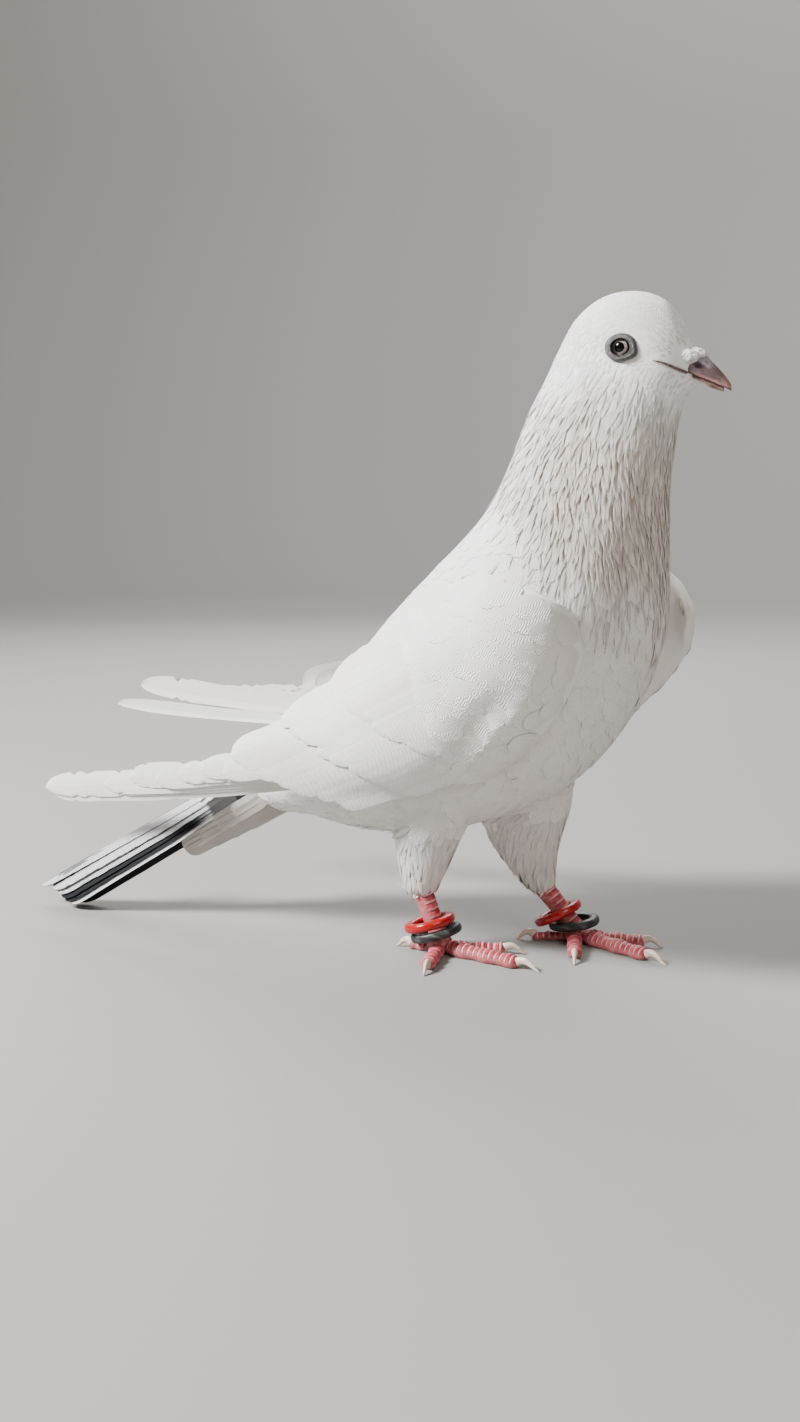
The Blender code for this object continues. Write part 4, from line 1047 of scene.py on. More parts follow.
def wing_shell(name, wing, material):
    """The arm under the coverts: a closed pad whose outer side is the wing's surface."""
    stations = np.concatenate([np.linspace(wing.low_edge[0][0] + 0.1, 12, 18)[:-1], np.linspace(12, 74, 42)])
    columns = 40
    outer, inner = [], []
    grow, lie = [], []
    for a in stations:
        low, up = wing.edges(a)
        turn = math.pi * np.arange(columns) / (columns - 1)
        b = (low + up) / 2 - (up - low) / 2 * np.cos(turn) * 0.98
        sink = -1.3 + 5.0 * max(0.0, a - 44.0) / 30.0
        skin = wing.points(a, b, -sink)
        depth = (0.6 + 11.0 * np.sin(turn)) * (1 - 0.8 * max(0.0, a - 38.0) / 36.0)
        outer.append(skin)
        inner.append(skin - np.stack([0 * depth, wing.side * depth, 0 * depth], 1))
        ahead = wing.points(a + 2.0, b, -sink) - wing.points(a - 2.0, b, -sink)
        lie.append(unit(ahead))
        edge = np.minimum(b - low, up - b)
        grow.append((1 - ramp(a, 46.0, 54.0)) * ramp(edge, 0.2, 1.0))
    rows = len(stations)
    points = np.concatenate([np.concatenate(outer), np.concatenate([i[1:-1] for i in inner[1:-1]])])
    made = solid(name, points, leaf_quads(rows, columns, 0), material, sharp=180.0)
    spare = len(points) - rows * columns
    lie.append(np.tile((wing.axis[0], 0, wing.axis[1]), (spare, 1)))
    set_attribute(made.data, "lie", np.concatenate(lie))
    set_attribute(made.data, "grow_coverts", np.concatenate([*grow, np.zeros(spare)]))
    # painted shade: cream tint and darker covert roots towards the wing's lower edge
    a, b = wing.places(points)
    low, _ = wing.edges(a)
    set_attribute(made.data, "warm", 0.55 * (1 - ramp(b - low, 2.0, 26.0)))
    for name in ("size", "fluff"):
        set_attribute(made.data, name, np.ones(len(points)))
    unwrap(made)
    return made


# Tail
def tail_axes():
    ahead = unit(TAIL_TIP - TAIL_ROOT)
    across = unit(np.cross((0.0, 0.0, 1.0), ahead))
    across = across if across[1] > 0 else -across
    top = np.cross(ahead, across)
    top = top if top[2] > 0 else -top
    return ahead, across, top, float(np.linalg.norm(TAIL_TIP - TAIL_ROOT))


def tail_feather(vanes, start, end, fan, normal, outer, inner, curve=0.0, rows=30, columns=9, thick=0.3,
                 shade=None):
    """A feather from start to end; shares across are positive on its outer web."""
    start, end = np.asarray(start, float), np.asarray(end, float)
    length = np.linalg.norm(end - start)
    s, k, reach = vane_grid(rows, columns, 0.0, 0.9, ragged(vanes.chance, rows, 0.03))
    reach = np.where(k[None, :] > 0, reach * outer, reach * inner)
    centre = start + np.outer(s, end - start) + np.outer(np.sin(math.pi * s) * curve, normal)
    wall = thick * (1 - k[None, :] ** 2) * (1 - 0.6 * s[:, None]) + 0.05
    ridge = 0.2 * (1 - s[:, None]) * (np.abs(k[None, :]) < 0.1)
    height = -0.05 * np.abs(reach)
    place = centre[:, None, :] + reach[..., None] * fan
    upper = place + (height + wall / 2 + ridge)[..., None] * normal
    lower = place + (height - wall / 2)[..., None] * normal
    web = np.broadcast_to(k[None, :], reach.shape)
    run = np.broadcast_to(s[:, None] * length / 10, reach.shape)
    vanes.add(upper, lower, reach / 10, run, web, shade=shade)


def make_tail(tail, white, grey):
    ahead, across, top, length = tail_axes()
    ridge_root = TAIL_ROOT + top * TAIL_RIDGE[0]
    ridge = TAIL_ROOT + ahead * length + top * TAIL_RIDGE[1] - ridge_root
    vanes = Vanes(21)
    for side, word in ((-1, "right"), (1, "left")):
        drop = TAIL_DROP[word]
        fan = across * side * math.cos(drop) - top * math.sin(drop)
        normal = top * math.cos(drop) + across * side * math.sin(drop)
        for i, (edge_root, edge_tip, reach) in enumerate(TAIL_PAIRS):
            outer = 3.6 if i else 2.4
            layer = -0.8 * i - (0.4 if side == 1 else 0.0)
            start = ridge_root + ridge * 0.08 + fan * (edge_root - outer) + normal * layer * 0.6
            end = ridge_root + ridge * (reach / length) + fan * (edge_tip - outer) + normal * layer
            inner = min(6.5, edge_tip - outer + 0.8)
            pair = i if side == -1 else 3 * (i > 2)
            tail_feather(vanes, start, end, fan, normal, outer, inner, shade=pair / 10)
    vanes.finish("tail_feathers", tail, "tail_feathers", "tail")
    coverts = Vanes(22)
    for row, (count, reach, spread) in enumerate(((9, 17.0, 8.5), (9, 12.0, 9.5), (7, 7.0, 9.0))):
        for n in range(count):
            share = 2 * n / (count - 1) - 1
            start = TAIL_ROOT + ahead * (1.0 - 4.0 * row) + across * spread * 0.7 * share
            start = start + top * (7.5 - 2.6 * share**2 + 1.0 * row)
            end = TAIL_ROOT + ahead * (6.0 + reach * (1 - 0.2 * abs(share))) + across * spread * share
            end = end + top * (5.6 - 4.2 * share**2 + 0.7 * row)
            fan = unit(across - top * 0.5 * share)
            tail_feather(coverts, start, end, fan, top, 4.2, 4.2, curve=1.0, rows=14, columns=5, thick=0.15)
    coverts.finish("tail_coverts", white, "plumage")
    under = Vanes(23)
    for row, (start, length) in enumerate(((9.0, 25.0), (3.0, 23.0), (-3.0, 21.0), (-9.0, 19.0))):
        for n in range(13):
            turn = math.radians(-84 + 14 * n)
            out = across * math.sin(turn) - top * math.cos(turn)
            fan = across * math.cos(turn) + top * math.sin(turn)
            ends = [keel_place(start + length * s, turn) + out * (0.3 * row + 0.2 * s) for s in (0, 1)]
            tail_feather(under, *ends, fan, out, 3.4, 3.4, rows=14, columns=5, thick=0.08)
    # grey is the undertail finish, darkened as painted shade
    under.finish("undertail_coverts", grey, "plumage")


def keel_place(run, turn):
    """A place on the rounded wedge under the tail: a distance along it and an angle from its lowest line."""
    ahead, across, top, _ = tail_axes()
    share = run / 38.0
    wide, deep, middle = 10.0 - 5.0 * share, 8.0 - 3.0 * share, -5.0 - 4.5 * share
    return TAIL_ROOT + ahead * run + across * wide * math.sin(turn) + top * (middle - deep * math.cos(turn))


# Head
PUPIL_EDGE = (0.31, 0.34)  # angles from the eye's axis at which the pupil ends
IRIS_EDGE = (0.49, 0.54)
LOOK_AHEAD = -0.09  # the eye's axis, beside 1 straight out
LOOK_UP = 0.02
CORNEA = 0.35  # how far the clear front of the eye stands out


def make_eye(word, side, finish):
    """An eyeball turned on its optical axis, which points out and a little ahead."""
    rows, sides = 40, 48
    look = unit((LOOK_AHEAD, side, LOOK_UP))
    right = unit(np.cross(look, (0, 0, 1)))
    rise = np.cross(right, look)
    centre = EYE * (1, side, 1)
    points, polar = [], []
    for i in range(rows + 1):
        angle = math.pi * i / rows
        bulge = CORNEA * math.exp(-((angle / 0.55) ** 2))
        for k in range(sides):
            turn = 2 * math.pi * k / sides
            reach = EYE_RADIUS * math.sin(angle)
            points.append(centre + look * (EYE_RADIUS * math.cos(angle) + bulge - CORNEA)
                          + (right * math.cos(turn) + rise * math.sin(turn)) * reach)
            polar.append(angle)
    faces = ring_faces(rows + 1, sides, closed_ends=False)
    made = solid("eyeball_" + word, points, faces, finish, sharp=180.0)
    set_attribute(made.data, "polar", polar)
    weld(made)
    wear(made, "eye", "eye_" + word)


def weld(item):
    work = bmesh.new()
    work.from_mesh(item.data)
    bmesh.ops.remove_doubles(work, verts=work.verts, dist=0.00002)
    bmesh.ops.recalc_face_normals(work, faces=work.faces)
    work.to_mesh(item.data)
    work.free()


def eye_finish():
    """Black pupil, pearl iris with fine spokes, dark rim."""
    made = Finish("eye", roughness=0.05, IOR=1.3)
    polar = made.value("polar")
    wobble = made.plus(polar, made.window(made.noise(900.0, 3.0), 0.3, 0.7, -0.02, 0.02))
    spokes = made.window(made.noise(1500.0, 4.0), 0.35, 0.65)
    pearl = made.mix(spokes, (0.34, 0.31, 0.26), (0.16, 0.145, 0.125))
    iris = made.mix(made.window(wobble, *IRIS_EDGE), pearl, (0.012, 0.011, 0.01))
    made.colour(made.mix(made.window(wobble, *PUPIL_EDGE), (0.003, 0.003, 0.003), iris))
    return made.material


def eye_side(x, z):
    """How far out the skin lies round the eye."""
    ball = 12.05 - 0.03 * np.maximum(0.0, x - EYE[0]) ** 1.5 - 0.01 * (z - EYE[2]) ** 2
    return np.maximum(ball, body_half_width(x, z, 18.0) + 0.1)


def make_lid(word, side, finish):
    """The bare ring of skin round the eye, drawn out into a corner towards the bill."""
    turns, sides = 96, 24
    points, ring = [], []
    for i in range(turns):
        angle = 2 * math.pi * i / turns
        corner = math.exp(-((math.remainder(angle + 0.5, 2 * math.pi) / 0.4) ** 2))
        back = math.exp(-((math.remainder(angle - 2.7, 2 * math.pi) / 0.6) ** 2))
        wide = 0.92 + 0.35 * corner + 0.12 * back
        for k in range(sides):
            phase = 2 * math.pi * k / sides
            crinkle = 0.05 * math.sin(angle * 23 + 2 * k) * max(0, math.cos(phase))
            across = math.cos(phase) + crinkle
            reach = 3.4 + 0.45 * corner + 0.2 * back + wide * across
            groove = 0.1 * math.cos(5 * phase)
            x = EYE[0] + 1.06 * reach * math.cos(angle)
            z = EYE[2] + reach * math.sin(angle) * 0.96
            height = (0.75 + groove) * math.sin(phase) - 0.35 * across
            points.append((x, height, z))
            ring.append(0.5 + 0.5 * across)
    points = np.array(points)
    points[:, 1] = side * (eye_side(points[:, 0], points[:, 2]) + points[:, 1])
    made = solid("lid_" + word, points, hoop_faces(turns, sides), finish, sharp=180.0)
    set_attribute(made.data, "ring", ring)
    wear(made, "cere")


def lid_finish():
    """Wrinkled grey skin round the eye, dark at its inner edge and paler outside."""
    made = Finish("lid", roughness=0.6)
    ring = made.value("ring")
    mottle = made.window(made.noise(900.0, 5.0), 0.35, 0.65)
    skin = made.mix(mottle, (0.12, 0.117, 0.108), (0.06, 0.058, 0.053))
    skin = made.mix(made.window(ring, 0.0, 0.42), (0.01, 0.0095, 0.009), skin)
    skin = made.mix(made.window(ring, 0.58, 0.72), skin, (0.07, 0.067, 0.062))
    made.colour(made.mix(made.window(ring, 0.8, 1.0), skin, (0.14, 0.134, 0.125)))
    pebble = made.window(made.cells(1500.0), 0.0, 0.2)
    made.roughness(made.window(mottle, 0.0, 1.0, 0.5, 0.7))
    made.bump((pebble, 0.08), (made.noise(2500.0, 3.0), 0.05))
    return made.material


BILL_UPPER = [(54.0, 187.4, 182.9, 4.2), (59.0, 187.6, 180.9, 4.5), (63.6, 186.6, 179.2, 3.8),
              (66.4, 183.7, 178.2, 2.9), (69.0, 181.0, 176.9, 2.1), (71.1, 178.6, 175.8, 1.4),
              (72.4, 176.6, 175.1, 0.6)]
BILL_LOWER = [(56.0, 181.4, 178.3, 3.5), (60.0, 180.5, 177.7, 3.3), (64.0, 179.1, 177.0, 2.8),
              (67.4, 177.7, 175.8, 2.0), (70.2, 176.2, 174.9, 0.9)]
CERE_LOBES = [((59.2, -3.3, 184.9), (4.1, 2.3, 2.5)), ((61.2, -1.3, 185.7), (3.9, 2.0, 2.3))]
NOSTRIL = (62.8, 182.4)
HOLLOW = (63.6, 182.2)


def dent(x, z, centre, slope, long, high):
    """How deep a place of the bill's side lies in a sloping oval dent: 1 at its centre."""
    ahead, rise = x - centre[0], z - centre[1]
    return math.exp(-((ahead / long) ** 2 + ((rise + slope * ahead) / high) ** 2))


def make_bill_half(name, table, finish, node, ridge):
    sides, rows = 40, 60
    points = []
    for i in range(rows + 1):
        x, top, bottom, width = smooth_row(table, (len(table) - 1) * i / rows)
        for k in range(sides):
            angle = 2 * math.pi * k / sides
            c, s = math.cos(angle), math.sin(angle)
            dome = (top - bottom) * max(0.0, s if ridge > 0 else -s) ** 0.9
            z = bottom + dome if ridge > 0 else top - dome
            z += ridge * 0.25 * max(0.0, s) ** 8 * (1 - abs(c)) ** 2
            y = c * width
            if ridge > 0:
                y *= 1 - 0.28 * dent(x, z, NOSTRIL, 0.3, 1.9, 0.5) - 0.07 * dent(x, z, HOLLOW, 0.5, 3.0, 1.2)
            points.append((x, y, z))
    wear(solid(name, points, ring_faces(rows + 1, sides), finish, sharp=60.0), "bill", node)


def bill_finish():
    """White by the cere, a mauve hollow at the nostril, brown sides that partly stand for painted shade, a
    flesh-pink edge and tip, and a painted shadow along the slit between the halves.
    """
    made = Finish("bill", roughness=0.34)
    place = add_node(made.tree, "ShaderNodeSeparateXYZ", {0: made.place})
    x = made.math("SUBTRACT", made.times(place.outputs[0], 1000.0), float(SHIFT[0]))
    z = made.math("SUBTRACT", made.times(place.outputs[2], 1000.0), float(SHIFT[2]))
    fall = made.plus(z, made.times(made.math("SUBTRACT", x, 59.0), 0.42))
    grain = made.noise(700.0, 4.0, stretch=(0.25, 1.0, 1.0))
    blotch = made.window(made.noise(420.0, 3.0), 0.35, 0.65)
    fall = made.plus(fall, made.window(blotch, 0.0, 1.0, -0.15, 0.15))
    pink = made.mix(made.window(grain, 0.35, 0.7), (0.25, 0.115, 0.095), (0.4, 0.22, 0.19))
    brown = made.mix(blotch, (0.07, 0.04, 0.036), (0.12, 0.076, 0.068))
    mauve = made.mix(made.window(grain, 0.35, 0.7), (0.055, 0.03, 0.038), (0.11, 0.075, 0.085))
    grey = made.mix(blotch, (0.2, 0.185, 0.205), (0.36, 0.34, 0.355))
    # the sides and the tip's brown: partly the bill's own colour, partly painted shade on its sides
    side = made.mix(made.window(x, 64.0, 67.5), mauve, brown)
    top = made.mix(made.window(x, 65.0, 68.0), grey, brown)
    colour = made.mix(made.window(fall, 185.6, 184.4), top, side)
    colour = made.mix(made.times(made.window(x, 69.5, 71.8), 0.7), colour, pink)
    edge = made.times(made.window(fall, 182.3, 181.7), made.window(x, 61.0, 65.0, 0.2, 0.85))
    colour = made.mix(edge, colour, pink)
    chin = made.times(made.window(fall, 180.4, 179.7), made.window(x, 67.0, 64.5))
    colour = made.mix(chin, colour, (0.74, 0.68, 0.62))
    # painted shadow: a dark line along the slit where the two halves of the bill meet
    line = made.math("ABSOLUTE", made.math("SUBTRACT", fall, 181.0))
    colour = made.mix(made.window(line, 0.4, 0.15, 0.0, 0.85), colour, (0.05, 0.028, 0.026))
    made.colour(colour)
    made.roughness(made.window(grain, 0.3, 0.7, 0.3, 0.5))
    made.bump((grain, 0.08), (made.noise(3000.0, 2.0), 0.03))
    return made.material


def make_cere(finish):
    """The powdery white swelling over the nostrils: creased lobes on either side of the bill's ridge."""
    points, faces = [], []
    rows, sides = 36, 40
    for side in (1, -1):
        for (cx, cy, cz), (long, wide, high) in CERE_LOBES:
            first = len(points)
            for i in range(rows + 1):
                angle = math.pi * i / rows
                for k in range(sides):
                    turn = 2 * math.pi * k / sides
                    x = -math.cos(angle)
                    y, z = math.sin(angle) * math.cos(turn), math.sin(angle) * math.sin(turn)
                    crease = 1 + 0.03 * math.sin(9 * x + 3 * y) + 0.025 * math.sin(7 * z - 5 * x)
                    points.append((cx + long * x * crease, side * (-cy - wide * y * crease),
                                   cz + high * z * crease))
            faces += [tuple(p + first for p in f) for f in ring_faces(rows + 1, sides, closed_ends=False)]
    made = solid("cere_lobes", points, faces, finish, sharp=180.0)
    weld(made)
    wear(made, "cere", "cere")


def make_gape(word, side, finish):
    """The thin fold of skin that runs back from the bill to the corner of the mouth, coloured dark as
    painted shadow of the slit.
    """
    steps = np.linspace(0, len(GAPE) - 1, 40)
    line = np.array([smooth_row(GAPE, t) for t in steps])
    reach = body_half_width(line[:, 0], line[:, 1], 18.0)
    share = np.linspace(0, 1, len(line))
    centres = np.stack([line[:, 0], side * (reach + 0.02), line[:, 1]], 1)
    radii = [(0.12 + 0.3 * s, 0.12 + 0.3 * s) for s in np.sin(math.pi * share * 0.6)]
    points, faces = tube(centres, radii, 12, up=(0.0, 1.0, 0.0))
    wear(solid("gape_" + word, points, faces, finish, sharp=180.0), "cere")


def soft_finish(name, light, dark, grain, depth, roughness, cell=0.0):
    """Bare skin: mottled between two colours, finely pebbled."""
    made = Finish(name, roughness=roughness, Subsurface_Weight=0.08, Subsurface_Scale=0.001)
    mottle = made.window(made.noise(grain, 5.0), 0.35, 0.65)
    colour = made.mix(mottle, light, dark)
    layers = [(made.noise(grain * 3, 4.0), depth)]
    if cell:
        pebble = made.cells(cell)
        colour = made.mix(made.window(pebble, 0.0, 0.12, 0.55, 0.0), colour, dark)
        layers.append((made.window(pebble, 0.0, 0.2), depth))
    made.colour(colour)
    made.roughness(made.window(mottle, 0.0, 1.0, roughness - 0.12, roughness + 0.1))
    made.bump(*layers)
    return made.material


# Legs and feet
LEGS = {
    "right": {
        "foot": (-12.0, -16.0), "hock": (-17.6, -16.6, 19.2),
        "toes": {"middle": (-12.0, 29.0), "outer": (-80.0, 19.0), "inner": (18.0, 21.0),
                 "hind": (176.0, 10.5)},
    },
    "left": {
        "foot": (24.0, 14.0), "hock": (14.2, 14.0, 15.6),
        "toes": {"middle": (-25.0, 30.0), "outer": (5.0, 23.0), "inner": (-74.0, 21.0),
                 "hind": (200.0, 14.0)},
    },
}
CLAW_LENGTH = {"middle": 8.5, "outer": 7.0, "inner": 7.5, "hind": 6.0}
TOE_RADIUS = {"middle": 2.65, "outer": 2.4, "inner": 2.4, "hind": 1.75}
TOE_FLATNESS = 0.9  # height of a toe over its width
SCUTE_LENGTH = 1.9
SHANK_PLATES = 8
SHANK_RADIUS = 2.9


def make_foot(word, sizes, finish):
    """Toes, foot and shank as one scaled form; the map runs across and along each toe in scutes."""
    points, faces, places = [], [], []
    x, y = sizes["foot"]

    def take(part, run, around, sides):
        first = len(points)
        points.extend(part[0])
        faces.extend(tuple(p + first for p in f) for f in part[1])
        places.extend((around[k], run[i]) for i in range(len(run)) for k in range(sides))

    sides = 24
    around = [math.sin(2 * math.pi * k / sides) for k in range(sides)]
    for which, (angle, length) in sizes["toes"].items():
        thick = TOE_RADIUS[which]
        heading = np.array((math.cos(math.radians(angle)), math.sin(math.radians(angle)), 0.0))
        scutes = max(6, round(length / SCUTE_LENGTH))
        rows = scutes * 6
        centres, radii, steps = [], [], []
        for i in range(rows + 1):
            share = i / rows
            knuckle = 0.25 * math.cos(6.5 * math.pi * share)
            radius = thick * (1.0 - 0.14 * share) + knuckle
            radius *= math.sqrt(max(0.05, 1 - max(0.0, (share - 0.9) / 0.1) ** 2 * 0.8))
            height = thick * 0.72 + 1.3 * max(0.0, 1 - share / 0.3) ** 2 - 0.3 * share
            centres.append(np.array((x, y, height)) + heading * length * share)
            radii.append((radius, radius * TOE_FLATNESS))
            steps.append(share * scutes)

        def scute(i, turn, steps=steps):
            phase = steps[i] % 1.0
            top = max(0.0, math.sin(turn)) ** 0.6
            return top * (0.42 * (1 - phase) * min(1.0, phase / 0.16) + 0.02)

        part = tube(centres, radii, sides, shape=scute)
        take((on_floor(part[0]), part[1]), steps, around, sides)

    turns = 2 * math.pi * np.arange(sides) / sides
    ball = [(x + 4.2 * math.sin(a) * math.cos(b), y + 3.9 * math.sin(a) * math.sin(b),
             3.2 + 3.6 * math.cos(a)) for a in np.linspace(0.02, math.pi - 0.02, 14) for b in turns]
    take((on_floor(ball), ring_faces(14, sides)), np.linspace(0, 5, 14), around, sides)

    ankle, hock = np.array((x, y, 4.6)), np.array(sizes["hock"])
    rows, rings = 60, SHANK_PLATES
    shares = [i / rows for i in range(rows + 1)]
    line = [ankle + (hock - ankle) * (t * 1.25) for t in shares]
    radii = [(SHANK_RADIUS * (0.9 + 0.12 * t**2), SHANK_RADIUS * (1.0 + 0.25 * t**2)) for t in shares]

    def plate(i, turn):
        phase = (i / rows * rings) % 1.0
        front = max(0.0, math.sin(turn)) ** 0.6
        return front * 0.34 * (1 - phase) * min(1.0, phase / 0.16)

    shank = tube(line, radii, sides, up=(1.0, 0.0, 0.3), shape=plate)
    take(shank, np.linspace(0, rings, rows + 1), around, sides)
    made = solid("scaled_foot_" + word, points, faces, finish, sharp=70.0)
    set_corner_map(made.data, "scutes", places)
    wear(made, "skin", "foot_" + word, "shank_" + word)


def foot_finish():
    """Raw pink skin, red between pale-edged scutes."""
    made = Finish("foot", roughness=0.5, Subsurface_Weight=0.12, Subsurface_Scale=0.0015)
    place = add_node(made.tree, "ShaderNodeSeparateXYZ", {0: made.map("scutes")})
    upper = made.window(place.outputs[0], -0.1, 0.5)
    phase = made.math("FRACT", place.outputs[1])
    mottle = made.window(made.noise(500.0, 5.0), 0.35, 0.65)
    edge = made.times(made.window(phase, 0.4, 0.1), upper)
    groove = made.times(made.window(phase, 0.72, 0.95), upper)
    flesh = made.mix(mottle, (0.47, 0.07, 0.09), (0.3, 0.018, 0.034))
    sole = made.mix(mottle, (0.5, 0.17, 0.17), (0.38, 0.09, 0.095))
    colour = made.mix(upper, sole, flesh)
    colour = made.mix(made.times(edge, 0.65), colour, (0.84, 0.52, 0.5))
    colour = made.mix(made.times(groove, 0.85), colour, (0.17, 0.005, 0.014))
    made.colour(colour)
    made.roughness(made.window(mottle, 0.0, 1.0, 0.42, 0.62))
    made.bump((made.window(made.cells(1300.0), 0.0, 0.2), 0.06), (made.noise(2500.0, 3.0), 0.03))
    return made.material


def make_claw(word, which, foot, angle, length, finish):
    heading = np.array((math.cos(angle), math.sin(angle), 0.0))
    rows, reach = 30, CLAW_LENGTH[which]
    start = np.array((foot[0], foot[1], 0.0)) + heading * (length - 0.8)
    centres, radii = [], []
    for i in range(rows + 1):
        share = i / rows
        rise = 1.9 + 1.0 * math.sin(math.pi * min(1.0, share * 1.25)) - 1.75 * share**2.2
        centres.append(start + heading * reach * share + np.array((0, 0, rise)))
        radius = 1.35 * (1 - share) ** 0.7 + 0.1
        radii.append((radius * 0.8, radius))
    points, faces = tube(centres, radii, 20)
    horn = solid(f"horn_{word}_{which}", on_floor(points), faces, finish, sharp=60.0)
    wear(horn, "claw", f"claw_{word}_{which}")


# Each ring: its centre, and its tilt in degrees.
RINGS = {
    "right": {"black": ((-13.3, -16.0, 6.5), 16.0), "red": ((-15.4, -16.4, 9.6), 16.5)},
    "left": {"black": ((23.7, 14.0, 6.1), 9.0), "red": ((18.2, 14.0, 8.6), 28.0)},
}
RING_OUTER = 8.4
RING_BORE = 5.2
RING_HEIGHT = 2.9


def make_ring(word, colour, centre, tilt, finish):
    """A flat plastic band with round edges."""
    turns, sides = 96, 20
    points = []
    for i in range(turns):
        angle = 2 * math.pi * i / turns
        for k in range(sides):
            phase = 2 * math.pi * k / sides
            c, s = math.cos(phase), math.sin(phase)
            across, rise = math.copysign(abs(c) ** 0.75, c), math.copysign(abs(s) ** 0.75, s)
            reach = (RING_OUTER + RING_BORE) / 2 + (RING_OUTER - RING_BORE) / 2 * across
            x, y, z = reach * math.cos(angle), reach * math.sin(angle), RING_HEIGHT / 2 * rise
            points.append((centre[0] + x * math.cos(tilt) - z * math.sin(tilt), centre[1] + y,
                           centre[2] + x * math.sin(tilt) + z * math.cos(tilt)))
    band = solid(f"band_{colour}_{word}", points, hoop_faces(turns, sides), finish, sharp=60.0)
    wear(band, "ring_" + colour, f"ring_{colour}_{word}")


def plastic_finish(name, base, worn, roughness):
    """Moulded plastic, dulled and scuffed by wear."""
    made = Finish(name, roughness=roughness)
    scuff = made.window(made.noise(350.0, 6.0, stretch=(1.0, 1.0, 3.0)), 0.5, 0.72)
    made.colour(made.mix(scuff, base, worn))
    made.roughness(made.window(scuff, 0.0, 1.0, roughness, roughness + 0.25))
    made.bump((made.noise(600.0, 5.0, stretch=(1.0, 1.0, 3.0)), 0.05))
    return made.material


def claw_finish():
    made = Finish("claw", roughness=0.4)
    grain = made.noise(900.0, 4.0, stretch=(0.3, 0.3, 1.0))
    made.colour(made.mix(made.window(grain, 0.35, 0.7), (0.72, 0.6, 0.5), (0.55, 0.4, 0.33)))
    made.roughness(made.window(grain, 0.3, 0.7, 0.32, 0.5))
    made.bump((grain, 0.05))
    return made.material


# Floor, light and camera
FLOOR_COLOUR = (0.26, 0.252, 0.242, 1.0)
SKY_COLOUR = (1.0, 0.89, 0.78, 1.0)
SKY_STRENGTH = 0.27
BIRD = (0.0, 0.0, 0.1)
# Each lamp, in metres and watts: name, place, what it faces, size, power, colour.
LAMPS = (
    ("key", (-0.72, -0.58, 0.8), BIRD, 0.28, 54.0, (0.985, 0.99, 1.0)),
    ("fill", (0.8, -0.6, 0.6), BIRD, 0.5, 4.0, (1.0, 0.94, 0.88)),
    ("rim", (-0.4, 0.9, 0.8), BIRD, 0.7, 12.0, (1.0, 1.0, 1.0)),
    ("wall", (0.0, 1.3, 2.2), (0.0, 3.0, 0.4), 1.4, 80.0, (1.0, 0.99, 0.97)),
)


def make_studio():
    """A pale round floor that sweeps up into a plain wall, and four soft lamps."""
    flat, bend, wall, sides = 2.0, 1.0, 3.0, 96
    sweep = np.linspace(0, math.pi / 2, 16)[1:]
    profile = [(0.5, 0.0), (flat, 0.0)]
    profile += [(flat + bend * math.sin(a), bend - bend * math.cos(a)) for a in sweep]
    profile.append((flat + bend, wall))
    turns = [2 * math.pi * k / sides for k in range(sides)]
    points, faces = [], []
    for reach, height in profile:
        points += [(reach * math.cos(turn), reach * math.sin(turn), height) for turn in turns]
    for i in range(len(profile) - 1):
        for k in range(sides):
            a, b = i * sides + k, i * sides + (k + 1) % sides
            faces.append((a, a + sides, b + sides, b))
    faces.append(tuple(range(sides)))
    mesh = bpy.data.meshes.new("floor")
    mesh.from_pydata(points, [], faces)
    mesh.shade_smooth()
    floor = show("floor", mesh)
    pale = Finish("floor", roughness=0.85)
    pale.shader.inputs["Base Color"].default_value = FLOOR_COLOUR
    mesh.materials.append(pale.material)
    world = bpy.data.worlds.new("studio")
    world.use_nodes = True
    background = world.node_tree.nodes["Background"].inputs
    background[0].default_value, background[1].default_value = SKY_COLOUR, SKY_STRENGTH
    bpy.context.scene.world = world
    for name, place, target, size, power, colour in LAMPS:
        lamp = bpy.data.lights.new(name, "AREA")
        lamp.size, lamp.energy, lamp.color = size, power, colour
        holder = show(name, lamp)
        holder.location = place
        aim = Vector(target) - Vector(place)
        holder.rotation_euler = aim.to_track_quat("-Z", "Y").to_euler()


CAMERA_PLACE = (152.3, -435.8, 140.0)
CAMERA_PITCH = math.radians(7.81)
CAMERA_TURN = math.radians(23.0)
SENSOR_WIDTH = 36.0
FOCAL_LENGTH = 36.71


def make_camera():
    """The photograph's view: ahead of square to the bird's right side, and a little from above."""
    pitch, turn = CAMERA_PITCH, CAMERA_TURN
    lens = bpy.data.cameras.new("camera")
    lens.sensor_width, lens.lens, lens.clip_start = SENSOR_WIDTH, FOCAL_LENGTH, 0.001
    holder = show("camera", lens)
    holder.location = to_frame(CAMERA_PLACE)
    look = Vector((-math.sin(turn) * math.cos(pitch), math.cos(turn) * math.cos(pitch), -math.sin(pitch)))
    holder.rotation_euler = look.to_track_quat("-Z", "Y").to_euler()
    bpy.context.scene.camera = holder


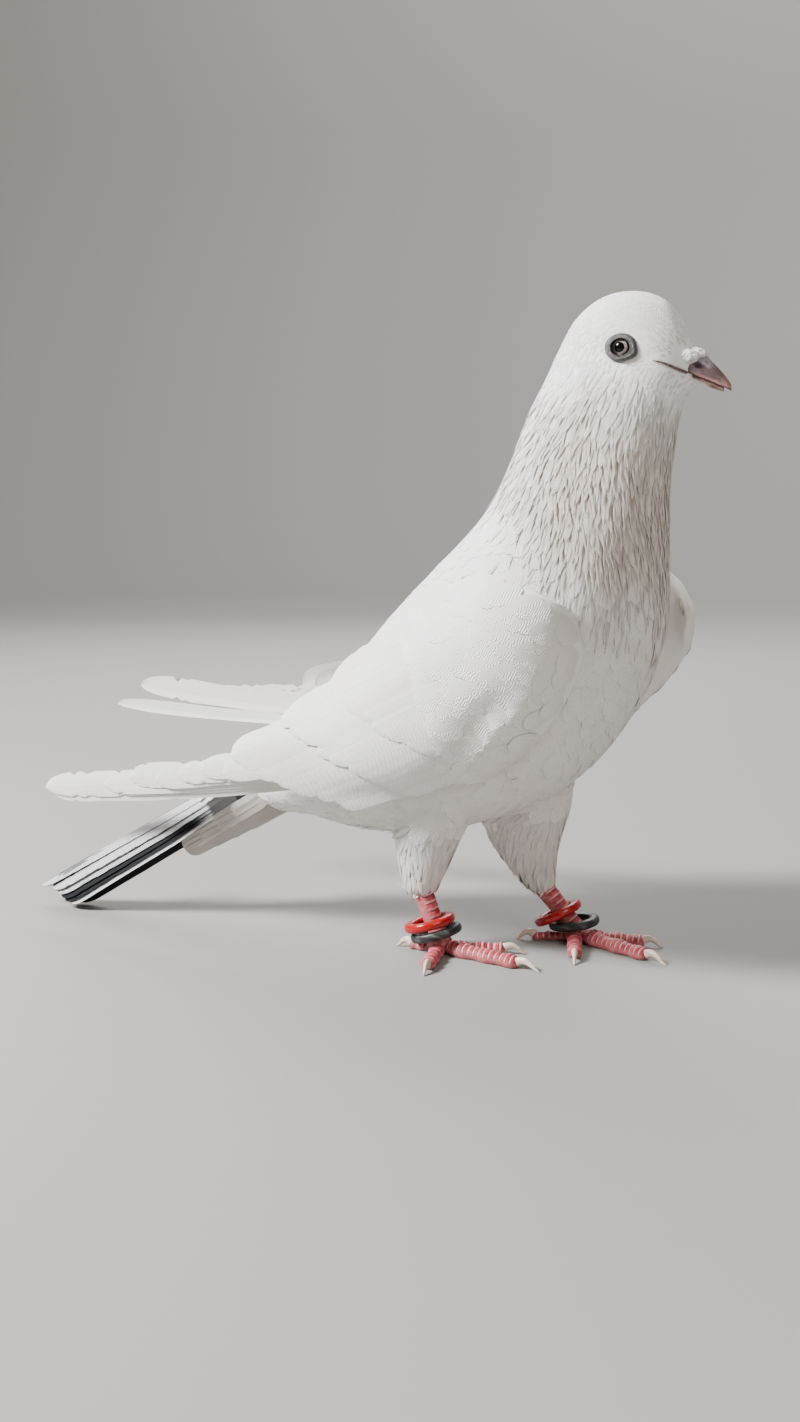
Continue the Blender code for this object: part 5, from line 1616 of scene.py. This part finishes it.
def main():
    wings = {word: Wing(word, sizes) for word, sizes in WINGS.items()}
    finishes = {
        "body": coat_finish("skin_down", 0.0, 0.2, 0.2),
        "smooth": coat_finish("coat_smooth", 0.35, 0.15, 0.09),
        "neck": coat_finish("coat_neck", 0.8, 0.35, 0.12),
        "face": coat_finish("coat_face", 0.0, 0.12, 0.2),
    }
    flight = flight_finish("flight", WHITE, CREAM)
    skin = make_skin()
    skin.data.materials.append(finishes["body"])
    mark_skin(skin, wings)
    tree = coat_tree()
    leaves = {"round": leaf("round_leaf", ROUND_LEAF), "pointed": leaf("pointed_leaf", POINTED_LEAF),
              "small": leaf("small_leaf", SMALL_LEAF)}
    coats = (
        # name, where, leaf, finish, spacing, length, width, sink, lift, thickness, camber, turn, hug
        ("head", "head", "small", "face", 1.15, 3.6, 2.0, 0.0, 0.4, 0.05, 0.05, 0.12, 1.0),
        ("neck", "neck", "pointed", "neck", 1.9, 8.5, 2.6, 0.0, 0.45, 0.05, 0.08, 0.15, 1.0),
        ("streaks", "neck", "pointed", "neck", 1.4, 7.5, 1.0, 0.1, 0.62, 0.08, 0.06, 0.25, 1.0),
        ("body", "body", "round", "smooth", 2.4, 8.5, 5.2, 0.1, 0.28, 0.03, 0.05, 0.14, 1.0),
        ("thigh", "thigh", "pointed", "smooth", 1.4, 8.5, 1.8, 0.0, 1.2, 0.08, 0.08, 0.25, 0.7),
    )
    for number, row in enumerate(coats):
        name, where, shape, look, gap, length, width, sink, lift, thick, camber, turn, hug = row
        for step, word in enumerate(("left", "right")):
            grow_coat(f"coat_{name}_{word}", skin, tree, "plumage", Feather=leaves[shape],
                      Finish=finishes[look], Where=f"grow_{where}_{word}", Spacing=gap, Length=length,
                      Width=width, Sink=sink, Lift=lift, Thickness=thick, Camber=camber, Turn=turn, Hug=hug,
                      Seed=2 * number + step)
    wear(skin, "plumage", "head", "neck", "torso", "thigh_left", "thigh_right")
    for word, wing in wings.items():
        make_wing(word, wing, flight, tree, leaves, finishes)
    for item in leaves.values():
        bpy.data.objects.remove(item)
    # painted shade: the undertail coverts get darker beige-grey colours for the shade under the tail
    make_tail(tail_finish(), flight, flight_finish("undertail", (0.5, 0.46, 0.42), (0.36, 0.325, 0.29)))

    eye = eye_finish()
    # painted shadow: the gape's dark colour stands for the shade in the mouth's slit
    gape = soft_finish("gape", (0.15, 0.11, 0.1), (0.07, 0.05, 0.046), 900.0, 0.08, 0.7)
    lid = lid_finish()
    for word, side in SIDES:
        make_eye(word, side, eye)
        make_lid(word, side, lid)
        make_gape(word, side, gape)
    bill = bill_finish()
    make_bill_half("bill_ridge", BILL_UPPER, bill, "bill_upper", 1.0)
    make_bill_half("bill_below", BILL_LOWER, bill, "bill_lower", 0.0)
    make_cere(soft_finish("cere", (0.82, 0.8, 0.78), (0.66, 0.6, 0.58), 600.0, 0.12, 0.8, 900.0))

    scales, horn = foot_finish(), claw_finish()
    red = plastic_finish("ring_red", (0.34, 0.002, 0.004), (0.42, 0.015, 0.015), 0.22)
    black = plastic_finish("ring_black", (0.01, 0.012, 0.012), (0.09, 0.09, 0.085), 0.45)
    for word, sizes in LEGS.items():
        make_foot(word, sizes, scales)
        for which, (angle, length) in sizes["toes"].items():
            make_claw(word, which, sizes["foot"], math.radians(angle), length, horn)
        for colour, (centre, tilt) in RINGS[word].items():
            make_ring(word, colour, centre, math.radians(tilt), red if colour == "red" else black)
    make_studio()
    make_camera()


main()
